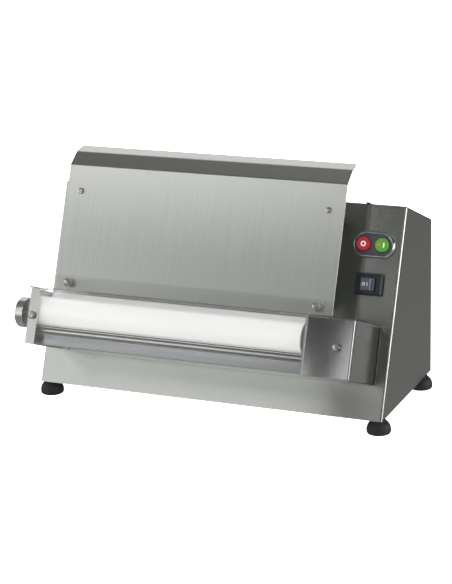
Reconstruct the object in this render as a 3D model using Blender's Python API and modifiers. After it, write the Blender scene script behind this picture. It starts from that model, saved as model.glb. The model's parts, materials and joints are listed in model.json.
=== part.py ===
"""Countertop dough sheeter: a wedge-shaped drive housing with a feed chute and one pair of rollers in front.

Metres, +Z up. The origin is on the table under the middle of the machine, and the front faces -Y.
Most of the machine is laid out on its leaning front face: x runs along it, u up it and n out of it.
"""
import math

import bmesh
import bpy
from mathutils import Matrix, Vector

MM = 0.001
GAP = 0.3 * MM                      # clearance between touching pieces

# Housing
BODY_WIDTH = 600 * MM
BODY_DEPTH = 258 * MM
SOLE_HEIGHT = 22 * MM               # table to the bottom edge of the housing
LEAN = math.radians(22)             # lean of the front face from the vertical
FRONT_LENGTH = 340 * MM             # length of the leaning front face
SHEET = 2 * MM
HALF_WIDTH = BODY_WIDTH / 2
TOP_DEPTH = (BODY_DEPTH - FRONT_LENGTH * math.sin(LEAN)) / math.cos(LEAN)
TOP_FRONT_Z = SOLE_HEIGHT + FRONT_LENGTH * math.cos(LEAN)
TOP_REAR_Z = TOP_FRONT_Z - TOP_DEPTH * math.sin(LEAN)
GLAND_REACH = 9 * MM                # of the cable gland behind the housing

# Feed chute: a bent plate that stands off the front face
CHUTE_LEFT = -265 * MM
CHUTE_RIGHT = 219 * MM
CHUTE_FACE = 59 * MM                # front of the plate above the front face
CHUTE_SHEET = 1.5 * MM
CHUTE_FOOT = 153 * MM
CHUTE_BENDS = ((360.5 * MM, CHUTE_FACE), (385 * MM, 43 * MM), (398 * MM, 24.5 * MM))
SCREW_LEFT = -239.5 * MM
SCREW_RIGHT = 192.5 * MM
SCREW_UPPER = 317 * MM
SCREW_LOWER = 165 * MM
STANDOFF_RADIUS = 7 * MM
SCREW_HOLE = 2.9 * MM

# Roller box in front
BOX_FACE = 127 * MM                 # front of the brackets above the front face
BOX_BOTTOM = 55 * MM
BOX_TOP = 147.5 * MM
BOX_LEFT = -272 * MM
COVER_LEFT = 203 * MM
COVER_RIGHT = 280 * MM
BRACKET_SHEET = 2.5 * MM
BRACKET_FLANGE = 17 * MM
SIDE_SCREW_U = 103 * MM
SIDE_SCREW_X = (-263.5 * MM, 256 * MM)

# Clear guard over the rollers
GUARD_SHEET = 2 * MM
GUARD_FLANGE_FACE = 70.5 * MM
GUARD_FLANGE_TOP = 175.5 * MM
GUARD_TOP = 149.8 * MM
GUARD_FACE = BOX_FACE + GAP + GUARD_SHEET
GUARD_BOTTOM = 52 * MM
GUARD_LEFT = -274 * MM
GUARD_RIGHT = 283 * MM
GUARD_FLANGE_RIGHT = 209 * MM

# Rollers
ROLLER_RADIUS = 24 * MM
ROLLER_LEFT = -265 * MM
ROLLER_RIGHT = 194 * MM
FRONT_AXIS = (113 * MM, 98 * MM)    # (u, n)
REAR_AXIS = (124.3 * MM, 48.2 * MM)
ECCENTRICITY = 5.5 * MM
KNOB_AXIS = (FRONT_AXIS[0] - ECCENTRICITY, FRONT_AXIS[1])
SHAFT_RADIUS = 8 * MM
ECCENTRIC_RADIUS = 8.5 * MM
JOURNAL_RADIUS = 6 * MM
BUSH_RADIUS = 12 * MM
BUSH_INSET = 2 * MM                 # of the front roller's bushes from its ends
BUSH_LENGTH = 14 * MM
SLEEVE_BORE = 13.3 * MM
KNOB_RADIUS = 24.5 * MM
KNOB_LEFT = -300 * MM
KNOB_RIGHT = -285 * MM

# Roller gears, all in one plane inside the cover
MODULE = 1.5 * MM
GEAR_LEFT = 206 * MM
GEAR_RIGHT = 218 * MM
ROLLER_TEETH = 20
IDLER_A_TEETH = 28
IDLER_B_TEETH = 24
STUD_RADIUS = 4 * MM
FRONT_GEAR_HUB = 13.5 * MM          # runs in the inner bearing plate
FRONT_GEAR_BORE = 11.2 * MM         # clears the adjusting shaft at every setting

# Bearing plates beside the gears
INNER_PLATE = (197 * MM, 202.7 * MM)
OUTER_PLATE = (221 * MM, 224 * MM)
PLATE_FACE = 116 * MM

# Drive
MOTOR_AXIS = (118 * MM, -110 * MM)
PULLEY_RADIUS = 16 * MM
PULLEY_LEFT = 233 * MM
PULLEY_RIGHT = 245 * MM
BELT = 3 * MM

# Controls
BUTTON_U = 274.5 * MM
BUTTON_X = {"stop_button": 240 * MM, "start_button": 270 * MM}
BUTTON_RADIUS = 11 * MM
BUTTON_FACE = 14 * MM
BEZEL_CENTRE_X = 255.5 * MM
BEZEL_SIZE = (69 * MM, 43 * MM)
BEZEL_FACE = 10 * MM
ROCKER_CENTRE = (253.5 * MM, 212 * MM)
ROCKER_FRAME = (45 * MM, 35 * MM)
ROCKER_WINDOW = (26.4 * MM, 21.4 * MM)
ROCKER_FACE = 8 * MM
ROCKER_TILT = math.radians(8)

# Feet
FOOT_RADIUS = 19.5 * MM
SOLE_RADIUS = 14 * MM
FOOT_X = (-285 * MM, 291 * MM)
FOOT_Y = (12 * MM, 231 * MM)

# The origin is under the middle of the whole machine, from guard to gland and from foot to foot
FRONT_REACH = GUARD_BOTTOM * math.sin(LEAN) - GUARD_FACE * math.cos(LEAN)
BODY_X = -(FOOT_X[0] + FOOT_X[1]) / 2
BODY_Y = -(FRONT_REACH + BODY_DEPTH + GLAND_REACH) / 2


def reset_scene():
    """Remove every object that the scene starts with."""
    for obj in list(bpy.data.objects):
        bpy.data.objects.remove(obj, do_unlink=True)


def new_collection(name):
    collection = bpy.data.collections.new(name)
    bpy.context.scene.collection.children.link(collection)
    return collection


reset_scene()
MACHINE = new_collection("dough_sheeter")
CUTTERS = new_collection("cutters")


# ---- Frames: each gives three axes and an origin, and an outline is drawn on the first two ----

def axes(first, second, third, origin=(0, 0, 0)):
    matrix = Matrix((first, second, third)).transposed().to_4x4()
    matrix.translation = Vector(origin) + Vector((BODY_X, BODY_Y, 0))
    return matrix


X_AXIS = Vector((1, 0, 0))
UP_FRONT = Vector((0, math.sin(LEAN), math.cos(LEAN)))
OUT_FRONT = Vector((0, -math.cos(LEAN), math.sin(LEAN)))
FOOT_OF_FRONT = (0, 0, SOLE_HEIGHT)
FACE = axes(X_AXIS, UP_FRONT, OUT_FRONT, FOOT_OF_FRONT)       # outlines in (x, u), thick along n
SECTION = axes(UP_FRONT, OUT_FRONT, X_AXIS, FOOT_OF_FRONT)    # outlines in (u, n), thick along x
PLAN = axes(OUT_FRONT, X_AXIS, UP_FRONT, FOOT_OF_FRONT)       # outlines in (n, x), thick along u
SIDE = axes((0, 1, 0), (0, 0, 1), (1, 0, 0))                  # outlines in (y, z), thick along x
FLOOR = axes((1, 0, 0), (0, 1, 0), (0, 0, 1))                 # outlines in (x, y), thick along z
BACK = axes((-1, 0, 0), (0, 0, 1), (0, 1, 0))                 # outlines in (-x, z), thick along y


def front_point(x, u, n):
    return FACE @ Vector((x, u, n))


# ---- Materials ----

def material(name, colour, roughness, metallic=0.0, alpha=1.0):
    found = bpy.data.materials.get(name)
    if found:
        return found
    made = bpy.data.materials.new(name)
    made.use_nodes = True
    shader = made.node_tree.nodes["Principled BSDF"]
    shader.inputs["Base Color"].default_value = (*colour, 1.0)
    shader.inputs["Roughness"].default_value = roughness
    shader.inputs["Metallic"].default_value = metallic
    shader.inputs["Alpha"].default_value = alpha
    made.diffuse_color = (*colour, alpha)
    return made


STAINLESS = material("polished_stainless", (0.62, 0.62, 0.60), 0.22, 1.0)
BRUSHED = material("brushed_stainless", (0.66, 0.67, 0.65), 0.35, 1.0)
STEEL = material("machined_steel", (0.50, 0.50, 0.50), 0.35, 1.0)
WHITE_PLASTIC = material("white_acetal", (0.86, 0.86, 0.84), 0.40)
CLEAR = material("clear_polycarbonate", (0.90, 0.92, 0.95), 0.05, 0.0, 0.25)
RUBBER = material("black_rubber", (0.02, 0.02, 0.02), 0.75)
DARK_PLASTIC = material("dark_plastic", (0.05, 0.05, 0.06), 0.45)
GREY_PLASTIC = material("grey_plastic", (0.30, 0.31, 0.33), 0.50)
RED_PLASTIC = material("red_plastic", (0.60, 0.02, 0.03), 0.35)
GREEN_PLASTIC = material("green_plastic", (0.10, 0.40, 0.06), 0.35)
MOTOR_PAINT = material("motor_paint", (0.10, 0.14, 0.20), 0.50)
BRONZE = material("sintered_bronze", (0.50, 0.33, 0.16), 0.45, 1.0)
CAST = material("cast_aluminium", (0.55, 0.56, 0.57), 0.50, 1.0)


# ---- Outlines ----

def arc(centre, radius, start, end, steps):
    """Points along an arc, both ends included, angles in degrees."""
    points = []
    for step in range(steps + 1):
        angle = math.radians(start + (end - start) * step / steps)
        points.append((centre[0] + radius * math.cos(angle), centre[1] + radius * math.sin(angle)))
    return points


def circle(centre, radius, steps=24):
    return arc(centre, radius, 0, 360, steps)[:-1]


def rectangle(first_low, first_high, second_low, second_high):
    return [
        (first_low, second_low),
        (first_high, second_low),
        (first_high, second_high),
        (first_low, second_high),
    ]


def rounded(centre, size, radius, steps=6):
    """A rectangle with round corners."""
    right = size[0] / 2 - radius
    top = size[1] / 2 - radius
    corners = ((right, top, 0), (-right, top, 90), (-right, -top, 180), (right, -top, 270))
    points = []
    for across, up, start in corners:
        corner = (centre[0] + across, centre[1] + up)
        points += arc(corner, radius, start, start + 90, steps)
    return points


def sheet_outline(path, thickness):
    """The section of a bent sheet whose outer face follows path and whose material lies on its right side."""
    inner = []
    for index, point in enumerate(path):
        before = Vector(path[max(index - 1, 0)])
        here = Vector(point)
        after = Vector(path[min(index + 1, len(path) - 1)])
        directions = []
        for vector in (here - before, after - here):
            if vector.length > 0:
                directions.append(vector.normalized())
        normals = [Vector((direction.y, -direction.x)) for direction in directions]
        bisector = sum(normals, Vector((0, 0))).normalized()
        inner.append(tuple(here + bisector * (thickness / bisector.dot(normals[0]))))
    return list(path) + inner[::-1]


def gear_outline(centre, teeth, phase):
    """Straight-flanked teeth, each a little narrower than its gap, with one tooth at the angle phase."""
    pitch_radius = MODULE * teeth / 2
    root = pitch_radius - 1.3 * MODULE
    tip = pitch_radius + 0.85 * MODULE
    step = 2 * math.pi / teeth
    points = []
    for tooth in range(teeth):
        middle = phase + tooth * step
        for radius, share in ((root, -0.30), (tip, -0.11), (tip, 0.11), (root, 0.30)):
            angle = middle + share * step
            points.append((centre[0] + radius * math.cos(angle), centre[1] + radius * math.sin(angle)))
    return points


def meshing_phase(driver, driver_teeth, driver_phase, driven, driven_teeth):
    """The phase that puts a gap of the driven gear where the driver has a tooth."""
    line = math.atan2(driven[1] - driver[1], driven[0] - driver[0])
    driver_step = 2 * math.pi / driver_teeth
    driven_step = 2 * math.pi / driven_teeth
    travel = (driver_phase - line) / driver_step
    return line + math.pi - (travel + 0.5) * driven_step


# ---- Solids ----

def place(name, mesh, look, collection=MACHINE):
    mesh.name = name
    obj = bpy.data.objects.new(name, mesh)
    collection.objects.link(obj)
    if look:
        mesh.materials.clear()
        mesh.materials.append(look)
    return obj


def plate(name, outline, low, high, frame, look, holes=()):
    """A flat outline with holes, drawn as a 2D curve in a frame and thick from low to high."""
    curve = bpy.data.curves.new(name, "CURVE")
    curve.dimensions = "2D"
    curve.fill_mode = "BOTH"
    curve.extrude = (high - low) / 2
    for loop in (outline, *holes):
        spline = curve.splines.new("POLY")
        spline.points.add(len(loop) - 1)
        for point, position in zip(spline.points, loop):
            point.co = (*position, 0.0, 1.0)
        spline.use_cyclic_u = True
    drawn = bpy.data.objects.new(name + "_drawn", curve)
    MACHINE.objects.link(drawn)
    bpy.context.view_layer.update()
    solid = bpy.data.meshes.new_from_object(drawn.evaluated_get(bpy.context.evaluated_depsgraph_get()))
    bpy.data.objects.remove(drawn, do_unlink=True)
    bpy.data.curves.remove(curve)
    welded = bmesh.new()
    welded.from_mesh(solid)
    bmesh.ops.remove_doubles(welded, verts=welded.verts, dist=1e-6)
    bmesh.ops.translate(welded, verts=welded.verts, vec=(0, 0, (low + high) / 2))
    bmesh.ops.recalc_face_normals(welded, faces=welded.faces)
    welded.to_mesh(solid)
    welded.free()
    solid.transform(frame)
    return place(name, solid, look)


def bent_sheet(name, path, thickness, low, high, frame, look):
    return plate(name, sheet_outline(path, thickness), low, high, frame, look)


def rod(name, frame, centre, radius, low, high, look, collection=MACHINE, sides=24):
    """A solid cylinder along a frame's third axis."""
    built = bmesh.new()
    matrix = frame @ Matrix.Translation((*centre, (low + high) / 2))
    bmesh.ops.create_cone(
        built, cap_ends=True, segments=sides, radius1=radius, radius2=radius, depth=high - low, matrix=matrix)
    mesh = bpy.data.meshes.new(name)
    built.to_mesh(mesh)
    built.free()
    return place(name, mesh, look, collection)


def block(name, frame, low, high, look, collection=MACHINE):
    """A box in a frame, from its low corner to its high corner."""
    low, high = Vector(low), Vector(high)
    built = bmesh.new()
    matrix = frame @ Matrix.Translation((low + high) / 2) @ Matrix.Diagonal((*(high - low), 1))
    bmesh.ops.create_cube(built, size=1, matrix=matrix)
    mesh = bpy.data.meshes.new(name)
    built.to_mesh(mesh)
    built.free()
    return place(name, mesh, look, collection)


def turned(name, profile, frame, centre, look, sides=24):
    """A profile of (radius, height) points, from the top down its outer side, turned about the third axis."""
    mesh = bpy.data.meshes.new(name)
    drawn = bmesh.new()
    verts = [drawn.verts.new((radius, 0, height)) for radius, height in profile]
    for first, second in zip(verts, verts[1:]):
        drawn.edges.new((first, second))
    if profile[0][0] > 0:
        drawn.edges.new((verts[-1], verts[0]))
    drawn.to_mesh(mesh)
    drawn.free()
    obj = place(name, mesh, look)
    obj.matrix_world = frame @ Matrix.Translation((*centre, 0))
    screw = obj.modifiers.new("turn", "SCREW")
    screw.steps = sides
    screw.render_steps = sides
    screw.use_merge_vertices = True
    screw.merge_threshold = 1e-5
    return obj


def helper(cutter):
    cutter.hide_render = True
    cutter.display_type = "WIRE"
    return cutter


def combine(obj, other, operation):
    change = obj.modifiers.new(operation.lower(), "BOOLEAN")
    change.operation = operation
    change.solver = "EXACT"
    change.object = other
    return obj


def cut(obj, *cutters):
    for cutter in cutters:
        combine(obj, cutter, "DIFFERENCE")
    return obj


def hole_cutter(name, frame, centre, radius, low, high, sides=24):
    return helper(rod("cut_" + name, frame, centre, radius, low, high, None, CUTTERS, sides))


def box_cutter(name, frame, low, high):
    return helper(block("cut_" + name, frame, low, high, None, CUTTERS))


def pivot(name, location):
    """An empty on a joint's axis, which carries the pieces that move about it."""
    empty = bpy.data.objects.new(name, None)
    empty.location = location
    MACHINE.objects.link(empty)
    bpy.context.view_layer.update()
    return empty


def carry(empty, *pieces):
    for piece in pieces:
        piece.parent = empty
        piece.matrix_parent_inverse = empty.matrix_world.inverted()


# ---- Housing ----

def housing():
    inside = HALF_WIDTH - SHEET - GAP
    front = [(1 * MM, 0), (FRONT_LENGTH, 0), (FRONT_LENGTH, GAP - TOP_DEPTH)]
    shell = bent_sheet("front_shell", front[::-1], -SHEET, -inside, inside, SECTION, STAINLESS)
    pulley_middle = (PULLEY_LEFT + PULLEY_RIGHT) / 2
    belt_slot = box_cutter(
        "belt_slot", FACE,
        (pulley_middle - 9 * MM, 100 * MM, -8 * MM), (pulley_middle + 9 * MM, 144 * MM, 8 * MM))
    cut(shell, belt_slot)
    for name, x in BUTTON_X.items():
        cut(shell, hole_cutter(name, FACE, (x, BUTTON_U), BUTTON_RADIUS + 0.6 * MM, -8 * MM, 8 * MM))
    half_w, half_h = ROCKER_WINDOW[0] / 2 + 3 * MM, ROCKER_WINDOW[1] / 2 + 3 * MM
    x, u = ROCKER_CENTRE
    cut(shell, box_cutter(
        "rocker_opening", FACE, (x - half_w, u - half_h, -8 * MM), (x + half_w, u + half_h, 8 * MM)))

    wedge = [
        (0, SOLE_HEIGHT),
        (BODY_DEPTH, SOLE_HEIGHT),
        (BODY_DEPTH, TOP_REAR_Z),
        (FRONT_LENGTH * math.sin(LEAN), TOP_FRONT_Z),
    ]
    louvres = []
    for row in range(6):
        louvres.append(rounded((165 * MM, (70 + 16 * row) * MM), (90 * MM, 6 * MM), 2.9 * MM, 3))
    plate("side_panel_left", wedge, -HALF_WIDTH, SHEET - HALF_WIDTH, SIDE, STAINLESS, louvres)
    plate("side_panel_right", wedge, HALF_WIDTH - SHEET, HALF_WIDTH, SIDE, STAINLESS)

    floor = rectangle(-inside, inside, 3.5 * MM, BODY_DEPTH - SHEET - GAP)
    plate("base_plate", floor, SOLE_HEIGHT, SOLE_HEIGHT + 2.5 * MM, FLOOR, BRUSHED)

    vents = []
    for column in range(10):
        vents.append(rounded(((-90 + 20 * column) * MM, 170 * MM), (7 * MM, 80 * MM), 3.4 * MM, 3))
    gland_hole = circle((-215 * MM, 62 * MM), 8.4 * MM, 20)
    back = rectangle(-inside, inside, SOLE_HEIGHT + GAP, TOP_REAR_Z - 3 * MM)
    plate("rear_cover", back, BODY_DEPTH - SHEET, BODY_DEPTH, BACK, BRUSHED, [*vents, gland_hole])
    gland = [
        (11 * MM, BODY_DEPTH + GLAND_REACH),
        (11 * MM, BODY_DEPTH + GAP),
        (8 * MM, BODY_DEPTH + GAP),
        (8 * MM, BODY_DEPTH - 12 * MM),
        (4 * MM, BODY_DEPTH - 12 * MM),
        (4 * MM, BODY_DEPTH + GLAND_REACH),
    ]
    turned("cable_gland", gland, BACK, (-215 * MM, 62 * MM), DARK_PLASTIC, 20)


def feet():
    """Four round rubber feet, widest a third of the way up, each with a flat sole."""
    top = SOLE_HEIGHT - GAP
    profile = [
        (0, top),
        (15 * MM, top),
        (17.5 * MM, 18 * MM),
        (FOOT_RADIUS, 12 * MM),
        (FOOT_RADIUS, 7 * MM),
        (17.5 * MM, 2 * MM),
        (SOLE_RADIUS, 0),
        (0, 0),
    ]
    for depth_name, y in zip(("front", "rear"), FOOT_Y):
        for side_name, x in zip(("left", "right"), FOOT_X):
            turned(f"foot_{depth_name}_{side_name}", profile, FLOOR, (x, y), RUBBER, 24)


# ---- Chute and guard ----

def pan_screw(name, x, u, seat, head_radius, head_height, length):
    shank = SCREW_HOLE - 0.4 * MM
    profile = [
        (0, seat + head_height),
        (head_radius * 0.7, seat + head_height),
        (head_radius, seat + head_height * 0.45),
        (head_radius, seat + GAP),
        (shank, seat + GAP),
        (shank, seat - length),
        (0, seat - length),
    ]
    return turned(name, profile, FACE, (x, u), STEEL, 16)


def chute_and_guard():
    chute_path = [(CHUTE_FOOT, CHUTE_FACE), *CHUTE_BENDS]
    chute = bent_sheet("feed_chute", chute_path, CHUTE_SHEET, CHUTE_LEFT, CHUTE_RIGHT, SECTION, BRUSHED)
    guard_path = [
        (GUARD_FLANGE_TOP, GUARD_FLANGE_FACE),
        (GUARD_TOP, GUARD_FLANGE_FACE),
        (GUARD_TOP, GUARD_FACE),
        (GUARD_BOTTOM, GUARD_FACE),
    ]
    guard = bent_sheet("safety_guard", guard_path[::-1], GUARD_SHEET, GUARD_LEFT, GUARD_RIGHT, SECTION, CLEAR)
    above = GUARD_TOP + 0.2 * MM
    cut(guard, box_cutter(
        "guard_flange_end", FACE,
        (GUARD_FLANGE_RIGHT, above, GUARD_FLANGE_FACE - 9 * MM), (GUARD_RIGHT + 9 * MM, 190 * MM, 80 * MM)))

    for side, x in (("left", SCREW_LEFT), ("right", SCREW_RIGHT)):
        for level, u in (("upper", SCREW_UPPER), ("lower", SCREW_LOWER)):
            hole = hole_cutter(f"chute_{level}_{side}", FACE, (x, u), SCREW_HOLE, 40 * MM, 80 * MM, 16)
            cut(chute, hole)
            ring = circle((x, u), STANDOFF_RADIUS)
            bore = circle((x, u), SCREW_HOLE, 16)
            back_of_chute = CHUTE_FACE - CHUTE_SHEET - GAP
            plate(f"chute_standoff_{level}_{side}", ring, GAP, back_of_chute, FACE, STEEL, [bore])
            if level == "lower":
                cut(guard, hole)
                guard_back = GUARD_FLANGE_FACE - GUARD_SHEET
                plate(
                    f"guard_spacer_{side}", ring, CHUTE_FACE + GAP, guard_back - GAP, FACE,
                    WHITE_PLASTIC, [bore])
        pan_screw(f"chute_screw_{side}", x, SCREW_UPPER, CHUTE_FACE, 5 * MM, 3 * MM, 14 * MM)
        pan_screw(f"flange_screw_{side}", x, SCREW_LOWER, GUARD_FLANGE_FACE, 4.5 * MM, 2.8 * MM, 26 * MM)

    screw_holes = []
    for side, x in zip(("left", "right"), SIDE_SCREW_X):
        hole = hole_cutter(f"guard_{side}", FACE, (x, SIDE_SCREW_U), SCREW_HOLE, 115 * MM, 140 * MM, 16)
        cut(guard, hole)
        screw_holes.append(hole)
        pan_screw(f"guard_screw_{side}", x, SIDE_SCREW_U, GUARD_FACE, 6.2 * MM, 3.6 * MM, 5.5 * MM)
    return screw_holes


# ---- Roller box frame ----

def shaft_hole(name, axis, radius, low, high):
    return hole_cutter(name, SECTION, axis, radius, low, high)


def roller_box(screw_holes):
    """The fixed metalwork round the rollers: bracket, bearing plates, gear cover, tie plate and scrapers."""
    flange_end = BOX_LEFT + BRACKET_FLANGE
    channel = [(GAP, flange_end), (GAP, BOX_LEFT), (BOX_FACE, BOX_LEFT), (BOX_FACE, flange_end)]
    bracket = bent_sheet(
        "left_bracket", channel[::-1], BRACKET_SHEET, BOX_BOTTOM + 2 * MM, BOX_TOP - 0.5 * MM, PLAN, BRUSHED)
    wall = (BOX_LEFT - 5 * MM, BOX_LEFT + 6 * MM)
    cut(bracket, shaft_hole("bracket_rear", REAR_AXIS, BUSH_RADIUS + GAP, *wall))
    cut(bracket, shaft_hole("bracket_knob", KNOB_AXIS, JOURNAL_RADIUS + 0.4 * MM, *wall))
    cut(bracket, screw_holes[0])

    studs = {"idler_stud_a": IDLER_A_AXIS, "idler_stud_b": IDLER_B_AXIS}
    inner_holes = [
        circle(REAR_AXIS, BUSH_RADIUS + GAP),
        circle(FRONT_AXIS, FRONT_GEAR_HUB + GAP, 32),
        *(circle(axis, STUD_RADIUS + GAP, 16) for axis in studs.values()),
    ]
    plate_low, plate_high = BOX_BOTTOM + 3 * MM, BOX_TOP - 3 * MM
    inner = rectangle(plate_low, plate_high, GAP, PLATE_FACE)
    plate("inner_bearing_plate", inner, *INNER_PLATE, SECTION, STEEL, inner_holes)
    outer_holes = [circle(REAR_AXIS, SHAFT_RADIUS + GAP), circle(KNOB_AXIS, JOURNAL_RADIUS + GAP, 20)]
    outer = rectangle(KNOB_AXIS[0] - 14 * MM, plate_high, GAP, PLATE_FACE)
    plate("outer_bearing_plate", outer, *OUTER_PLATE, SECTION, STEEL, outer_holes)
    for name, axis in studs.items():
        rod(name, SECTION, axis, STUD_RADIUS, INNER_PLATE[0] - 1 * MM, GEAR_RIGHT + 1.5 * MM, STEEL, sides=16)

    cover_sheet = 1.5 * MM
    cover = block(
        "gear_cover", FACE, (COVER_LEFT, BOX_BOTTOM, GAP), (COVER_RIGHT, BOX_TOP, BOX_FACE), BRUSHED)
    hollow = box_cutter(
        "cover_hollow", FACE,
        (COVER_LEFT + cover_sheet, BOX_BOTTOM + cover_sheet, -9 * MM),
        (COVER_RIGHT - cover_sheet, BOX_TOP - cover_sheet, BOX_FACE - cover_sheet))
    window = box_cutter(
        "cover_window", FACE,
        (COVER_LEFT - 5 * MM, BOX_BOTTOM + cover_sheet + 1 * MM, -9 * MM),
        (COVER_LEFT + 5 * MM, BOX_TOP - cover_sheet - 1 * MM, PLATE_FACE + 1 * MM))
    cut(cover, hollow, window, screw_holes[1])

    rail_low, rail_high = BOX_LEFT + BRACKET_SHEET + GAP, INNER_PLATE[0] - GAP
    tie = [(76 * MM, 98 * MM), (76 * MM, 110 * MM), (58 * MM, 110 * MM), (58 * MM, 98 * MM)]
    bent_sheet("tie_plate", tie[::-1], 2 * MM, rail_low, rail_high, SECTION, BRUSHED)
    front_blade = [(76.5 * MM, 112 * MM), (85.5 * MM, 112 * MM), (87.8 * MM, 101 * MM), (76.5 * MM, 104 * MM)]
    plate("front_scraper", front_blade, rail_low, rail_high, SECTION, DARK_PLASTIC)
    rear_blade = [(84 * MM, 26 * MM), (98.3 * MM, 44 * MM), (97.3 * MM, 49 * MM), (82 * MM, 31 * MM)]
    plate("rear_scraper", rear_blade, rail_low, rail_high, SECTION, DARK_PLASTIC)

    bore = [circle(REAR_AXIS, SHAFT_RADIUS + GAP)]
    ring = circle(REAR_AXIS, BUSH_RADIUS)
    plate("rear_bush_left", ring, BOX_LEFT - 1 * MM, ROLLER_LEFT - 1 * MM, SECTION, BRONZE, bore)
    plate("rear_bush_right", ring, ROLLER_RIGHT + 1 * MM, INNER_PLATE[1] + 1 * MM, SECTION, BRONZE, bore)


# ---- Rollers and gears ----

def idler_axes():
    """Idler b stands right below the front roller, and idler a meets both it and the rear roller's gear."""
    reach_a = MODULE * (ROLLER_TEETH + IDLER_A_TEETH) / 2
    reach_b = MODULE * (ROLLER_TEETH + IDLER_B_TEETH) / 2
    reach_ab = MODULE * (IDLER_A_TEETH + IDLER_B_TEETH) / 2
    idler_b = Vector((FRONT_AXIS[0] - reach_b, FRONT_AXIS[1]))
    rear = Vector(REAR_AXIS)
    span = idler_b - rear
    along = (reach_a ** 2 - reach_ab ** 2 + span.length ** 2) / (2 * span.length)
    across = math.sqrt(reach_a ** 2 - along ** 2)
    direction = span.normalized()
    idler_a = rear + direction * along + Vector((-direction.y, direction.x)) * across
    return tuple(idler_a), tuple(idler_b)


IDLER_A_AXIS, IDLER_B_AXIS = idler_axes()


def gear(name, axis, teeth, phase, bore, look):
    outline = gear_outline(axis, teeth, phase)
    return plate(name, outline, GEAR_LEFT, GEAR_RIGHT, SECTION, look, [circle(axis, bore)])


def roller_gears():
    """Rear roller gear, idler a, idler b and front roller gear, each set to mesh with the one before."""
    chain = (
        ("rear_roller_gear", REAR_AXIS, ROLLER_TEETH, SHAFT_RADIUS + GAP, STEEL),
        ("idler_gear_a", IDLER_A_AXIS, IDLER_A_TEETH, STUD_RADIUS + GAP, WHITE_PLASTIC),
        ("idler_gear_b", IDLER_B_AXIS, IDLER_B_TEETH, STUD_RADIUS + GAP, WHITE_PLASTIC),
        ("front_roller_gear", FRONT_AXIS, ROLLER_TEETH, FRONT_GEAR_BORE, STEEL),
    )
    gears = []
    phase = 0.0
    before = None
    for name, axis, teeth, bore, look in chain:
        if before:
            phase = meshing_phase(*before, axis, teeth)
        gears.append(gear(name, axis, teeth, phase, bore, look))
        before = (axis, teeth, phase)
    hub = plate(
        "cut_front_gear_hub", circle(FRONT_AXIS, FRONT_GEAR_HUB, 32), ROLLER_RIGHT + GAP, GEAR_LEFT + 1 * MM,
        SECTION, None, [circle(FRONT_AXIS, FRONT_GEAR_BORE)])
    MACHINE.objects.unlink(hub)
    CUTTERS.objects.link(hub)
    combine(gears[-1], helper(hub), "UNION")
    return gears


def rear_roller(rear_gear):
    sleeve = plate(
        "rear_roller_sleeve", circle(REAR_AXIS, ROLLER_RADIUS, 40), ROLLER_LEFT, ROLLER_RIGHT, SECTION,
        WHITE_PLASTIC, [circle(REAR_AXIS, SHAFT_RADIUS + GAP)])
    shaft = rod(
        "rear_roller_shaft", SECTION, REAR_AXIS, SHAFT_RADIUS, BOX_LEFT - 3 * MM, PULLEY_RIGHT + 4 * MM,
        STEEL)
    pulley = plate(
        "rear_pulley", circle(REAR_AXIS, PULLEY_RADIUS, 28), PULLEY_LEFT, PULLEY_RIGHT, SECTION, CAST,
        [circle(REAR_AXIS, SHAFT_RADIUS + GAP)])
    carry(pivot("rear_roller_axis", front_point(0, *REAR_AXIS)), sleeve, shaft, pulley, rear_gear)


def front_roller():
    """The sleeve turns on two bushes, which ride on the offset middle of the adjusting shaft."""
    bushes = []
    ends = (
        ("left", ROLLER_LEFT + BUSH_INSET, ROLLER_LEFT + BUSH_INSET + BUSH_LENGTH),
        ("right", ROLLER_RIGHT - BUSH_INSET - BUSH_LENGTH, ROLLER_RIGHT - BUSH_INSET),
    )
    for side, low, high in ends:
        ring = circle(FRONT_AXIS, SLEEVE_BORE - GAP)
        bore = circle(FRONT_AXIS, ECCENTRIC_RADIUS + 1.1 * MM)
        bushes.append(plate(f"front_bush_{side}", ring, low, high, SECTION, BRONZE, [bore]))
    carry(pivot("front_roller_carriage", front_point(0, *FRONT_AXIS)), *bushes)
    sleeve = plate(
        "front_roller_sleeve", circle(FRONT_AXIS, ROLLER_RADIUS, 40), ROLLER_LEFT, ROLLER_RIGHT, SECTION,
        WHITE_PLASTIC, [circle(FRONT_AXIS, SLEEVE_BORE)])
    carry(pivot("front_roller_axis", front_point(0, *FRONT_AXIS)), sleeve)


def gap_adjuster():
    """The knob turns the adjusting shaft, whose middle is offset from its journals."""
    middle_left, middle_right = BOX_LEFT + 5.5 * MM, OUTER_PLATE[0] - 1 * MM
    shaft = rod(
        "eccentric_shaft", SECTION, FRONT_AXIS, ECCENTRIC_RADIUS, middle_left, middle_right, STEEL)
    ends = (
        ("left", KNOB_LEFT + 1 * MM, middle_left + 1 * MM),
        ("right", middle_right - 1 * MM, OUTER_PLATE[1] + 2 * MM),
    )
    for side, low, high in ends:
        journal = rod(f"cut_journal_{side}", SECTION, KNOB_AXIS, JOURNAL_RADIUS, low, high, None, CUTTERS)
        combine(shaft, helper(journal), "UNION")
    chamfer = 2 * MM
    bore = JOURNAL_RADIUS + GAP
    profile = [
        (KNOB_RADIUS - chamfer, KNOB_RIGHT),
        (KNOB_RADIUS, KNOB_RIGHT - chamfer),
        (KNOB_RADIUS, KNOB_LEFT + chamfer),
        (KNOB_RADIUS - chamfer, KNOB_LEFT),
        (bore, KNOB_LEFT),
        (bore, KNOB_RIGHT),
    ]
    knob = turned("adjusting_knob", profile, SECTION, KNOB_AXIS, STEEL, 32)
    carry(pivot("knob_axis", front_point(KNOB_RIGHT, *KNOB_AXIS)), knob, shaft)


# ---- Drive inside the housing ----

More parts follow.
